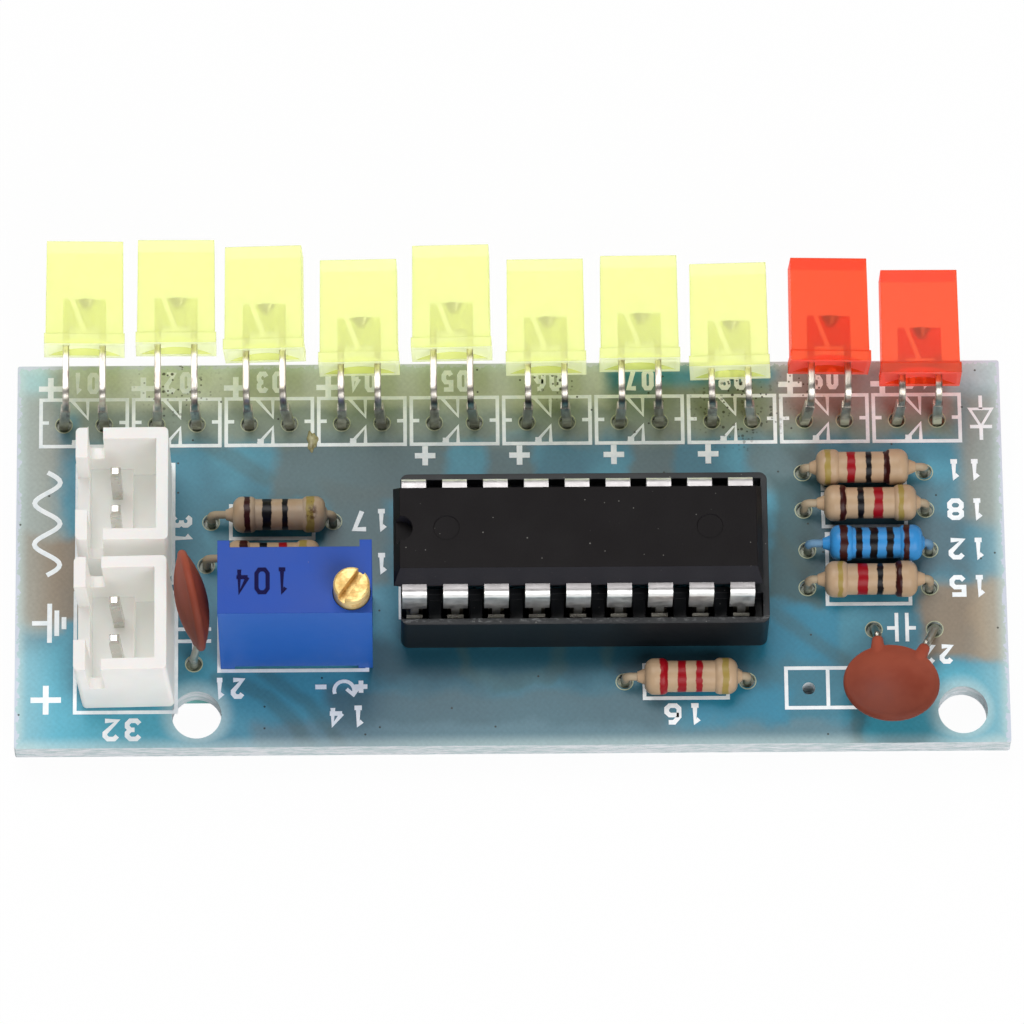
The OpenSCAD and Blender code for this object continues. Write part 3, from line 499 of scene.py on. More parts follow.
def board_finish():
    """Glossy translucent resist over glass fibre, with the underside's copper showing through, and
    patches of painted light and shade.
    """
    s = Finish("board", IOR=1.5, Specular_IOR_Level=0.25)
    drift = s.math("MULTIPLY_ADD", s.noise(2.6, 3, seed=2), 2.2, -1.1)
    x = s.math("ADD", s.x, drift)
    y = s.math("SUBTRACT", s.y, drift)
    flat = s.join(x, y)
    colour = s.mix(s.step(s.noise(6.0, 2, seed=5), 0.4, 0.62), TEAL, BRIGHT_TEAL)
    for patch, x0, x1, y0, y1, soft in PATCHES:
        inside = s.step(s.box_distance(x, y, x0, x1, y0, y1), soft, -soft)
        colour = s.mix(inside, colour, patch, 0.88)
    copper = s.most(*(s.step(s.line_distance(flat, start, end), width / 2 + 0.3, width / 2 - 0.3)
                      for width, *run in SHADOW_TRACKS for start, end in zip(run, run[1:])))
    colour = s.mix(copper, colour, SHADE, 0.4)

    # Painted light: paler at the cut edges and round the screw holes, as if light leaks in there
    side = s.math("SUBTRACT", BOARD_W / 2, s.math("ABSOLUTE", s.x))
    depth = s.math("SUBTRACT", BOARD_D / 2, s.math("ABSOLUTE", s.y))
    painted_glow = s.math("ADD", s.step(s.math("MINIMUM", side, depth), 0.9, -0.05, 0, 0.5),
                  s.step(side, 3.0, 0.0, 0, 0.3))
    for hole_x, hole_y in SCREW_HOLES:
        offset = s.vector("SUBTRACT", s.join(s.x, s.y), (hole_x, hole_y, 0))
        rim = s.math("SUBTRACT", s.vector("LENGTH", offset), SCREW_HOLE_R)
        painted_glow = s.most(painted_glow, s.step(rim, 1.1, -0.1, 0, 0.55))
    colour = s.mix(painted_glow, colour, PAINTED_EDGE_LIGHT)

    # Fine weave of the glass cloth, and a chipped line along the cut edges
    warp = s.math("SINE", s.math("MULTIPLY", s.x, 2 * math.pi / 0.42))
    weft = s.math("SINE", s.math("MULTIPLY", s.y, 2 * math.pi / 0.42))
    weave = s.math("MULTIPLY", warp, weft)
    colour = s.shade(colour, s.math("MULTIPLY_ADD", weave, 0.018, 1.0))
    colour = s.shade(colour, s.step(s.noise(0.25, 4, 0.6, seed=9), 0.2, 0.8, 0.93, 1.07))
    reach = s.step(s.noise(0.5, 4, 0.65, seed=10), 0.35, 0.65, 0.02, 0.34)
    back = s.math("SUBTRACT", BOARD_D / 2, s.y)
    border = s.math("MINIMUM", side, back)
    chipped = s.step(s.math("SUBTRACT", border, reach), 0.04, -0.04)
    colour = s.mix(chipped, colour, srgb(206, 210, 226), 0.8)
    colour = s.mix(s.grime(), colour, DIRT, 0.85)

    # The underside is plainer, because its copper is real strips
    facing = s.facing()
    under = s.mix(s.noise(5, 2, seed=4), srgb(54, 130, 154), srgb(68, 148, 172))
    colour = s.mix(s.step(facing, -0.4, -0.6), colour, under)

    # The cut edges are rough bare fibre
    rim = s.step(s.math("ABSOLUTE", facing), 0.6, 0.4)
    fibres = s.noise(0.35, 5, 0.7, stretch=(0.35, 0.35, 2.2), seed=11)
    cut = s.mix(s.step(fibres, 0.35, 0.62), srgb(184, 204, 206), CUT_EDGE)
    colour = s.mix(rim, colour, cut)
    s.set(Base_Color=colour, Roughness=s.blend(rim, 0.3, 0.85))
    s.bump(weave, 0.002, 0.5)
    s.bump(s.math("MULTIPLY", fibres, rim), 0.16, 0.9)
    return s.material


# Metals

def wire_finish(name, bright, dull, flux, flux_top, stain=None, coat=None):
    """Tinned wire, dulled near the board by old flux. It may have stains where it was handled,
    and a coat of lacquer that ran along it from the part's body."""
    s = Finish(name)
    streaks = s.noise(0.4, 3, seed=3, stretch=(1, 0.2, 0.2))
    colour = s.mix(s.step(streaks, 0.3, 0.7), bright, dull)
    if stain:
        marks = s.math("MULTIPLY", s.step(s.noise(0.5, 3, 0.6, stretch=(1, 0.4, 0.4), seed=21),
                                          0.5, 0.66),
                       s.step(s.z, 1.2, 2.4))
        colour = s.mix(marks, colour, stain, 0.6)
    height = s.math("ADD", s.z, s.step(s.noise(1.1, 3, seed=8), 0.3, 0.7, -0.5, 0.5))
    low = s.step(height, flux_top, flux_top * 0.4)
    residue = s.mix(s.step(s.noise(0.9, 3, seed=7), 0.35, 0.65), *flux)
    colour = s.mix(low, colour, residue, 0.9)
    covered = low
    if coat:
        lacquer = s.step(height, 0.5, 0.8)
        colour = s.mix(lacquer, colour, coat)
        covered = s.most(low, lacquer)
    s.set(Base_Color=colour, Roughness=s.blend(covered, 0.33, 0.6),
          Metallic=s.blend(covered, 1.0, 0.0))
    s.bump(streaks, 0.004, 0.3)
    s.round_edges(0.16)
    return s.material


def plated_finish(name, colour, roughness=0.22):
    """Bright plating with fine drawing lines and faint cloudiness."""
    s = Finish(name, Metallic=1.0)
    cloud = s.noise(0.9, 3, seed=14)
    s.set(Base_Color=s.shade(colour, s.step(cloud, 0.2, 0.8, 0.92, 1.05)),
          Roughness=s.step(cloud, 0.2, 0.8, roughness, roughness + 0.14))
    s.bump(s.noise(0.12, 3, stretch=(1, 0.2, 0.2), seed=15), 0.01, 0.5)
    return s.material


def pin_finish():
    """Matt tin of the chip's pins, with painted light: flat tops painted greyer, rounded shoulders
    painted brighter.
    """
    s = Finish("lead_tin", Metallic=1.0)
    cloud = s.noise(0.5, 3, seed=16)
    # Painted light and shade by facing: faces that point straight up greyer, all others brighter
    colour = s.mix(s.step(s.facing(), 0.9, 0.99), srgb(250, 250, 248), srgb(188, 184, 184))
    s.set(Base_Color=s.shade(colour, s.step(cloud, 0.2, 0.8, 0.9, 1.04)),
          Roughness=s.step(cloud, 0.2, 0.8, 0.36, 0.5))
    s.bump(s.noise(0.12, 3, stretch=(1, 0.2, 0.2), seed=15), 0.01, 0.5)
    return s.material


def brass_finish():
    s = Finish("brass", Metallic=0.55)
    tarnish = s.step(s.noise(0.7, 4, 0.6, seed=31), 0.42, 0.66)
    lines = s.noise(0.07, 2, stretch=(0.15, 1, 1), seed=32)
    colour = s.mix(tarnish, srgb(250, 218, 146), srgb(218, 178, 106))
    s.set(Base_Color=s.shade(colour, s.step(lines, 0.3, 0.7, 0.9, 1.1)),
          Roughness=s.step(tarnish, 0, 1, 0.4, 0.55))
    s.bump(lines, 0.02, 0.6)
    s.round_edges(0.08)
    return s.material


def solder_finish():
    s = Finish("solder", Metallic=1.0)
    pits = s.noise(0.35, 4, 0.6, seed=41)
    flux = s.step(s.noise(1.6, 3, seed=42), 0.5, 0.68)
    colour = s.mix(flux, srgb(206, 207, 210), srgb(150, 140, 112), 0.6)
    s.set(Base_Color=colour, Roughness=s.step(pits, 0.2, 0.8, 0.18, 0.42))
    s.bump(pits, 0.05, 0.5)
    return s.material


# Plastics

def moulded_finish(name, colour, roughness, dust, grain=0.012, shine=0.5, painted_glow=None, front=None,
                   lip=None):
    """Moulded plastic: fine spark-eroded grain, slight clouding, some dust. Pale nylon gets a
    painted glow, which stands in for the light it lets through, so it looks lit even inside. Front
    faces may be painted paler, as if lit from the front. A lip is the place from front to back of
    an upper edge where pale scuffs and fluff have gathered."""
    s = Finish(name, IOR=1.5, Specular_IOR_Level=shine)
    # Painted glow: the nylon emits light in place of the light that passes through it
    if painted_glow:
        s.set(Subsurface_Weight=0.4, Subsurface_Scale=0.0012, Emission_Color=painted_glow,
              Emission_Strength=1.0)
    cloud = s.noise(2.5, 3, seed=51)
    fine = s.noise(0.1, 3, 0.6, seed=52)
    tone = s.shade(colour, s.step(cloud, 0.2, 0.8, 0.95, 1.05))
    # Painted light: front faces paler, as if lit from the front
    if front:
        tone = s.mix(s.step(s.facing(1), -0.3, -0.7), tone, front)
    lying = s.step(s.facing(), 0.2, 0.7)
    specks = s.most(s.speckle(0.55, dust, seed=53, radius=0.09),
                    s.speckle(0.3, dust, seed=54, radius=0.12))
    tone = s.mix(s.math("MULTIPLY", specks, lying), tone, srgb(150, 148, 142), 0.5)
    if lip:
        strip = s.step(s.math("ABSOLUTE", s.math("SUBTRACT", s.y, lip)), 0.22, 0.08)
        torn = s.step(s.noise(0.16, 4, 0.7, stretch=(0.5, 1, 1), seed=55), 0.5, 0.62)
        patchy = s.step(s.noise(2.2, 2, seed=56), 0.4, 0.6, 0.25, 1.0)
        scuffs = s.math("MULTIPLY", strip, s.math("MULTIPLY", torn, patchy))
        tone = s.mix(s.math("MULTIPLY", scuffs, lying), tone, srgb(148, 150, 150), 0.6)
    s.set(Base_Color=tone, Roughness=s.step(cloud, 0.2, 0.8, roughness - 0.05, roughness + 0.07))
    s.bump(fine, grain, 0.6)
    s.round_edges(0.06)
    return s.material


def lens_finish(name, body, tint, share, painted_glow, foot):
    """Diffusing tinted epoxy with a painted glow in place of the light it gathers. The lead frame
    shows through it, and the end of its foot has a painted highlight: paler and glowing more."""
    s = Finish(name, Roughness=0.2, IOR=1.5, Subsurface_Weight=0.5, Subsurface_Scale=0.0012,
               Subsurface_Radius=(1.0, 1.0, 0.6), Emission_Strength=1.0)
    # Painted highlight and glow: the end of the foot, which faces the front, is paler and glows
    # more
    end = s.step(s.facing(1), -0.5, -0.8)
    cloud = s.noise(1.4, 3, seed=61)
    colour = s.shade(body, s.step(cloud, 0.2, 0.8, 0.97, 1.02))
    colour = s.mix(end, colour, foot)
    s.set(Base_Color=colour, Emission_Color=s.shade(colour, s.blend(end, painted_glow, 0.45)))
    s.bump(s.noise(0.8, 2, seed=62), 0.02, 0.4)
    s.round_edges(0.14)
    s.see_through(s.blend(end, share, 0.5), s.mix(end, tint, foot))
    return s.material


# Resistors: middle of each body, then its bands as colour, distance from the middle, width

BAND_COLOURS = {"gold": srgb(150, 130, 52), "red": srgb(146, 12, 24),
                "black": srgb(12, 10, 14), "brown": srgb(54, 18, 16)}
RESISTORS = {
    1: (22.13, (("gold", -2.19, 0.38), ("red", -0.73, 0.54), ("black", 0.38, 0.37),
                ("brown", 1.5, 0.4))),
    2: (22.88, (("brown", -2.06, 0.5), ("black", -1.11, 0.41), ("black", -0.18, 0.5),
                ("black", 0.85, 0.44), ("brown", 1.88, 0.38))),
    3: (-14.87, (("brown", -1.83, 0.5), ("black", -0.65, 0.5), ("red", 0.6, 0.5),
                 ("gold", 1.85, 0.5))),
    5: (22.51, (("gold", -1.96, 0.31), ("red", -0.56, 0.63), ("black", 0.54, 0.35),
                ("brown", 1.69, 0.37))),
    6: (11.12, (("red", -1.72, 0.5), ("red", -0.58, 0.53), ("red", 0.5, 0.4),
                ("gold", 2.12, 0.4))),
    7: (-14.52, (("brown", -1.99, 0.37), ("black", -0.77, 0.57), ("black", 0.38, 0.38),
                 ("gold", 1.95, 0.5))),
    8: (22.58, (("brown", -1.76, 0.38), ("black", -0.63, 0.38), ("red", 0.48, 0.59),
                ("gold", 1.91, 0.32))),
}
BEIGE = srgb(184, 156, 126)
DULL_RESISTOR = 7
BLUE = srgb(58, 140, 204)


def resistor_finish(number, middle_x, bands):
    """Lacquered body with painted bands that waver a little."""
    coat = BLUE if number == 2 else BEIGE
    s = Finish(f"resistor_{number}", Roughness=0.32, IOR=1.5, Specular_IOR_Level=0.22)
    waver = s.math("MULTIPLY_ADD", s.noise(0.6, 3, seed=number), 0.3, -0.15)
    along = s.math("ADD", s.math("SUBTRACT", s.x, middle_x), waver)
    cloud = s.noise(1.2, 3, seed=number + 10)
    colour = s.shade(coat, s.step(cloud, 0.25, 0.75, 0.9, 1.07))
    if number == DULL_RESISTOR:
        colour = s.mix(s.step(cloud, 0.35, 0.65), colour, srgb(168, 158, 144), 0.45)
    for name, offset, width in bands:
        away = s.math("ABSOLUTE", s.math("SUBTRACT", along, offset))
        inside = s.step(away, width / 2 + 0.03, width / 2 - 0.03)
        colour = s.mix(inside, colour, BAND_COLOURS[name], 0.85 if name == "gold" else 1.0)
    specks = s.speckle(0.5, 0.1, seed=number + 20, radius=0.12)
    colour = s.mix(specks, colour, srgb(70, 56, 48), 0.6)
    if number == DULL_RESISTOR:
        worn = s.step(s.line_distance(s.join(s.x, s.y), (middle_x + 2.0, 1.7),
                                      (middle_x + 2.1, 2.1)), 0.45, 0.1)
        colour = s.mix(s.math("MULTIPLY", worn, s.step(s.noise(0.25, 3), 0.4, 0.6)), colour,
                       srgb(84, 52, 28), 0.9)
    s.set(Base_Color=colour)
    s.bump(s.noise(0.3, 3, seed=number + 30), 0.02, 0.35)
    return s.material


def disc_finish(number):
    """Dipped ceramic disc: waxy red-brown coat with shallow ripples and dust, and painted light and
    shade: darker towards the front, lighter towards the back."""
    s = Finish(f"capacitor_{number}", Roughness=0.5, IOR=1.5, Specular_IOR_Level=0.25)
    low, high = extent(f"capacitor_disc_{number}")
    cloud = s.noise(1.8, 3, seed=71)
    colour = s.mix(s.step(cloud, 0.3, 0.7), srgb(138, 62, 44), srgb(150, 73, 53))
    # Painted light and shade: darker towards the front of the disc, lighter towards the back
    colour = s.shade(colour, s.step(s.y, low.y, high.y, 0.6, 1.5))
    colour = s.mix(s.speckle(0.7, 0.06, seed=72, radius=0.1), colour, srgb(196, 170, 150), 0.6)
    s.set(Base_Color=colour, Roughness=s.step(cloud, 0.3, 0.7, 0.5, 0.62))
    s.bump(s.noise(0.7, 3, seed=73), 0.05, 0.45)
    s.round_edges(0.35)
    return s.material


def silk_finish():
    """White printing ink, thin enough for some of the board to show."""
    s = Finish("print", Roughness=0.6, IOR=1.45)
    thin = s.step(s.noise(0.5, 4, 0.6, seed=81), 0.3, 0.75)
    colour = s.mix(thin, srgb(252, 254, 255), srgb(232, 240, 244))
    colour = s.mix(s.grime(), colour, DIRT, 0.9)
    s.set(Base_Color=colour)
    return s.material


# Board print: flat ribbons of ink

PRINT_H = 0.018
PRINT_STEP = 0.0015
PRINT_LINE = 0.23
PRINT_BOLD = 0.3
PRINT_HEAVY = 0.36
MITRE_LIMIT = 0.7
DIGIT_GAP = 0.3
LAMP_BOX_REACH = 2.72
LAMP_BOX_FRONT = 7.35
LAMP_BOX_BACK = 10.5
RESISTOR_BOX = (2.6, 1.1)
GLYPHS = {
    "0": (((0, 1), (1, 0), (3, 0), (4, 1), (4, 5), (3, 6), (1, 6), (0, 5), (0, 1)),),
    "1": (((0.8, 4.8), (2, 6), (2, 0)), ((0.8, 0), (3.2, 0))),
    "2": (((0, 5), (1, 6), (3, 6), (4, 5), (4, 4), (0, 0), (4, 0)),),
    "3": (((0, 5), (1, 6), (3, 6), (4, 5), (4, 4), (3, 3), (4, 2), (4, 1), (3, 0), (1, 0), (0, 1)),
          ((1.6, 3), (3, 3))),
    "4": (((3, 0), (3, 6), (0, 2)), ((0, 2), (4, 2))),
    "5": (((4, 6), (0, 6), (0, 3.4), (3, 3.4), (4, 2.4), (4, 1), (3, 0), (1, 0), (0, 1)),),
    "6": (((3.4, 6), (1.6, 6), (0, 4), (0, 1), (1, 0), (3, 0), (4, 1), (4, 2.4), (3, 3.4),
           (0, 3.4)),),
    "7": (((0, 6), (4, 6), (1.4, 0)),),
    "8": (((1, 3.2), (0, 4), (0, 5.2), (1, 6), (3, 6), (4, 5.2), (4, 4), (3, 3.2), (1, 3.2)),
          ((1, 3.2), (0, 2.2), (0, 1), (1, 0), (3, 0), (4, 1), (4, 2.2), (3, 3.2))),
    "9": (((0.6, 0), (2.4, 0), (4, 2), (4, 5), (3, 6), (1, 6), (0, 5), (0, 3.6), (1, 2.6),
           (4, 2.6)),),
}


def skin(shape, rows):
    """Faces between neighbouring rows of corners that go round. A row may be one corner."""
    for first, second in zip(rows, rows[1:]):
        count = len(first)
        for k in range(count):
            after = (k + 1) % count
            corners = dict.fromkeys((first[k], first[after], second[after], second[k]))
            if len(corners) > 2:
                shape.faces.new(corners)


def ribbon(shape, points, width, low=0.0, high=PRINT_H):
    """Flat strip of even width along a run of points, mitred at its corners. Neighbouring
    strips differ a hair in height, so that those that cross don't share a face."""
    high += len(shape.verts) % 5 * PRINT_STEP
    points = [Vector(p) for p in points]
    closed = (points[0] - points[-1]).length < 1e-6
    if closed:
        points.pop()
    count = len(points)
    runs = [(points[(i + 1) % count] - points[i]).normalized() for i in range(count)]
    rows = []
    for i, point in enumerate(points):
        before = runs[i - 1] if i or closed else runs[i]
        after = runs[i] if i < count - 1 or closed else runs[i - 1]
        across = Vector((-(before + after).y, (before + after).x)).normalized()
        reach = width / 2 / max(across.dot(Vector((-after.y, after.x))), MITRE_LIMIT)
        rows.append([shape.verts.new((*(point + across * side * reach), z))
                     for side, z in ((1, low), (1, high), (-1, high), (-1, low))])
    skin(shape, rows + rows[:1] if closed else rows)
    if not closed:
        shape.faces.new(rows[0])
        shape.faces.new(rows[-1])


def arc(x, y, radius, start, end, count=14):
    angles = [math.radians(start + (end - start) * i / (count - 1)) for i in range(count)]
    return [(x + radius * math.cos(a), y + radius * math.sin(a)) for a in angles]


def outline(x0, x1, y0, y1):
    return ((x0, y0), (x1, y0), (x1, y1), (x0, y1), (x0, y0))


def write(shape, text, x0, x1, y0, y1, down=False, line=PRINT_BOLD, z=0.0):
    """Digits that fill a rectangle, turned half round, or running down the board."""
    center = Vector(((x0 + x1) / 2, (y0 + y1) / 2))
    along, tall = (y1 - y0, x1 - x0) if down else (x1 - x0, y1 - y0)
    glyph = along / (len(text) + DIGIT_GAP * (len(text) - 1))
    spin = Matrix.Rotation(math.radians(-90 if down else 180), 2)
    for index, mark in enumerate(text):
        left = index * glyph * (1 + DIGIT_GAP) - along / 2
        for stroke in GLYPHS[mark]:
            points = [center + spin @ Vector((left + line / 2 + px / 4 * (glyph - line),
                                              (py / 6 - 0.5) * (tall - line)))
                      for px, py in stroke]
            ribbon(shape, points, line, z, z + PRINT_H)


def draw(shape, *runs, line=PRINT_LINE):
    """Several ribbons of one width."""
    for points in runs:
        ribbon(shape, points, line)


def cross(shape, x, y, size, line=PRINT_HEAVY):
    half = size / 2
    draw(shape, ((x - half, y), (x + half, y)), ((x, y - half), (x, y + half)), line=line)


def lamp_print(shape, lamp):
    """Box, diode sign, plus sign and number at a lamp's holes."""
    cx = lamp_x(lamp)
    left, right, bar = cx - LAMP_BOX_REACH, cx + LAMP_BOX_REACH, cx + 0.22
    draw(shape, outline(left, right, LAMP_BOX_FRONT, LAMP_BOX_BACK),
         ((left, 8.95), (left + 0.5, 8.95)), ((right, 8.95), (right - 0.5, 8.95)),
         ((cx - 0.78, 10.45), (bar, 9.25), (bar, 10.45)),
         ((bar, 7.45), (bar, 8.55), (cx - 0.7, 7.45)))
    draw(shape, ((cx - 0.75, 7.6), (cx - 0.35, 7.6)), line=PRINT_HEAVY)
    if 5 <= lamp <= 8:
        cross(shape, -5.33 + (lamp - 5) * 5.95, 6.57, 1.3)
    else:
        cross(shape, cx - 2.12, 11.25, 1.5)
    write(shape, f"{lamp:02d}", cx - 0.8, cx + 0.95, 10.9, 12.35)


def signs_print(shape):
    """Plain signs beside the connectors: a sound wave, earth, plus, and turn to adjust."""
    wave = [(-29.1 + 0.8 * math.sin(t / 40 * 5 * math.pi), 5.6 - 6.9 * t / 40) for t in range(41)]
    draw(shape, wave, ((-30.0, -4.5), (-28.9, -4.5)), line=PRINT_BOLD)
    for index, half in enumerate((1.3, 0.85, 0.4)):
        x = -28.9 + 0.45 * index
        draw(shape, ((x, -4.5 - half), (x, -4.5 + half)), line=PRINT_BOLD)
    cross(shape, -29.1, -9.6, 1.9)
    # Lamp sign
    draw(shape, ((29.1, 9.5), (30.5, 9.5), (29.8, 8.3), (29.1, 9.5)),
         ((29.1, 8.3), (30.5, 8.3)), ((29.8, 10.4), (29.8, 9.5)), ((29.8, 8.3), (29.8, 7.4)))
    # Adjusting sign
    draw(shape, ((-12.3, -8.85), (-11.6, -8.85)), line=PRINT_BOLD)
    cross(shape, -9.45, -8.85, 0.8, PRINT_BOLD)
    draw(shape, arc(-10.5, -9.1, 0.62, 200, -20), ((-10.35, -9.0), (-9.92, -9.38), (-9.6, -8.9)))


def capacitor_print(shape):
    """Sign of two plates and two wires at each capacitor."""
    draw(shape, ((-21.0, -4.96), (-18.8, -4.96)), ((-21.0, -5.76), (-18.8, -5.76)),
         ((-19.87, -4.96), (-19.87, -4.3)), ((-19.87, -5.76), (-19.87, -6.4)),
         ((24.1, -4.2), (24.1, -6.1)), ((24.75, -4.2), (24.75, -6.1)),
         ((23.5, -5.2), (24.1, -5.2)), ((24.75, -5.2), (25.3, -5.2)))


# Position numbers: digits, then x from and to, y from and to
NUMBERS = (
    ("11", 27.5, 29.8, 4.7, 6.1), ("18", 27.5, 29.9, 2.0, 3.45), ("12", 27.5, 29.9, -0.65, 0.8),
    ("15", 27.5, 29.9, -3.15, -1.7), ("16", 9.45, 11.9, -11.5, -10.1),
    ("17", -9.95, -7.6, 1.5, 3.0), ("13", -9.95, -7.6, -1.35, 0.05),
    ("14", -11.55, -9.1, -11.5, -10.1), ("21", -18.7, -16.7, -9.6, -8.2),
    ("22", 25.6, 27.6, -7.6, -6.3), ("31", -21.35, -20.0, 0.7, 2.7),
    ("32", -25.55, -23.1, -12.35, -10.85),
)
DOWNWARD_NUMBERS = ("31",)


def make_print(material):
    shape = bmesh.new()
    for lamp in LAMPS:
        lamp_print(shape, lamp)
    for node in ("input_header", "power_header"):
        low, high = extent(node)
        draw(shape, outline(low.x - 0.15, high.x + 0.1, low.y - 0.3, high.y + 0.2))
    reach, half = RESISTOR_BOX
    for number in RESISTORS:
        (left, y), (right, _) = resistor_holes(number)
        x = (left + right) / 2
        draw(shape, outline(x - reach, x + reach, y - half, y + half))
    signs_print(shape)
    capacitor_print(shape)
    draw(shape, outline(-18.3, -9.05, -7.75, -2.6), outline(17.1, 24.95, -10.45, -7.83),
         ((19.7, -10.45), (19.7, -7.83)), ((-6.95, -1.2), (-6.95, -4.4)))
    for number, *box in NUMBERS:
        write(shape, number, *box, down=number in DOWNWARD_NUMBERS)
    add_piece("board_print", shape, material)


# Small things on top

TRIMMER_DIGITS = "104"
RIM_W = 0.06
RIM_H = 0.012
FLUX_DEPTH = 0.3
FLUX_BEAD = (-12.45, 7.6)
FLUX_BEAD_REACH = (0.34, 0.66)
FLUX_BEAD_H = 0.14


def shown_holes():
    """Places of the lead holes that no part hides."""
    for lamp in LAMPS:
        yield lamp_lead(lamp, -1)
        yield lamp_lead(lamp, 1)
    for number in RESISTORS:
        yield from resistor_holes(number)
    yield from UPRIGHT_CAPACITOR_HOLES
    yield from LEANING_CAPACITOR_HOLES


def ring(shape, x, y, inner, outer, low, high, count=32):
    """Flat ring, or a disc where the inner radius is zero."""
    rows = []
    for radius, z in ((inner, low), (outer, low), (outer, high), (inner, high)):
        rows.append([shape.verts.new((x + radius * math.cos(math.tau * k / count),
                                      y + radius * math.sin(math.tau * k / count), z))
                     for k in range(count)] if radius else [shape.verts.new((x, y, z))] * count)
    skin(shape, rows + rows[:1])


def make_hole_rims(material):
    """Bare laminate round each lead hole, where the resist stops short."""
    shape = bmesh.new()
    for x, y in shown_holes():
        ring(shape, x, y, HOLE_R, HOLE_R + RIM_W, 0, RIM_H)
    add_piece("hole_rims", shape, material)


def make_hole_flux(material):
    """Old flux that closes the lead holes a little below the board's face."""
    shape = bmesh.new()
    for x, y in shown_holes():
        ring(shape, x, y, 0, HOLE_R + 0.02, -1.5 * FLUX_DEPTH, -FLUX_DEPTH)
    add_piece("hole_flux", shape, material)


def make_flux_bead(material):
    """Run of dried flux left beside the third lamp."""
    shape = bmesh.new()
    bmesh.ops.create_icosphere(shape, subdivisions=4, radius=1)
    x, y = FLUX_BEAD
    reach_x, reach_y = FLUX_BEAD_REACH
    for vertex in shape.verts:
        flat = math.hypot(vertex.co.x, vertex.co.y)
        angle = math.atan2(vertex.co.y, vertex.co.x)
        reach = flat * (1 + 0.16 * math.sin(3 * angle + 1) + 0.1 * math.sin(7 * angle))
        vertex.co = (x + reach_x * reach * math.cos(angle), y + reach_y * reach * math.sin(angle),
                     max(vertex.co.z, -0.2) * FLUX_BEAD_H)
    add_piece("flux_bead", shape, material)


def make_trimmer_digits(material):
    """Plain digits printed on the trimmer's top, upside down as it was fitted."""
    shape = bmesh.new()
    top = extent("trimmer_housing")[1].z
    write(shape, TRIMMER_DIGITS, -17.15, -13.75, -6.35, -4.6, line=0.26, z=top)
    add_piece("trimmer_digits", shape, material)


def laminate_finish():
    s = Finish("bare_laminate", Roughness=0.5, IOR=1.5)
    s.set(Base_Color=s.mix(s.noise(0.6, 3, seed=111), srgb(190, 192, 156), srgb(154, 164, 138)))
    return s.material


def flux_finish(name, light, dark):
    """Dried rosin flux, glossy and uneven."""
    s = Finish(name, Roughness=0.25, IOR=1.5)
    uneven = s.noise(0.5, 4, 0.6, seed=112)
    s.set(Base_Color=s.mix(s.step(uneven, 0.35, 0.65), light, dark))
    s.bump(uneven, 0.08, 0.6)
    return s.material


def stamp_finish():
    """Dark stamp ink laid down as small dots."""
    s = Finish("stamp_ink", Roughness=0.7, Specular_IOR_Level=0.1)
    dots = s.math("MULTIPLY", s.math("SINE", s.math("MULTIPLY", s.x, math.tau / 0.17)),
                  s.math("SINE", s.math("MULTIPLY", s.y, math.tau / 0.17)))
    s.set(Base_Color=s.mix(s.step(dots, -0.3, 0.4), srgb(26, 24, 84), srgb(12, 8, 40)))
    return s.material


# Underside copper

TRACK_H = 0.035
TRACK_SINK = 0.01
TRACK_STEP = 0.0001
TRACK_W = 0.9
FINE_TRACK_W = 0.5
HAIR_TRACK_W = 0.4
BUS_W = 1.6
SUPPLY_BACK = 11.6
SUPPLY_RIGHT = 29.6
SUPPLY_FRONT = -3.8
GROUND_Y = -10.6
HEADER_PIN_R = 0.32
TRIMMER_PIN_R = 0.25


def row_ends(node, radius):
    """Places of the first and the last pin of a row."""
    low, high = extent(node)
    return (low.x + radius, low.y + radius), (high.x - radius, high.y - radius)


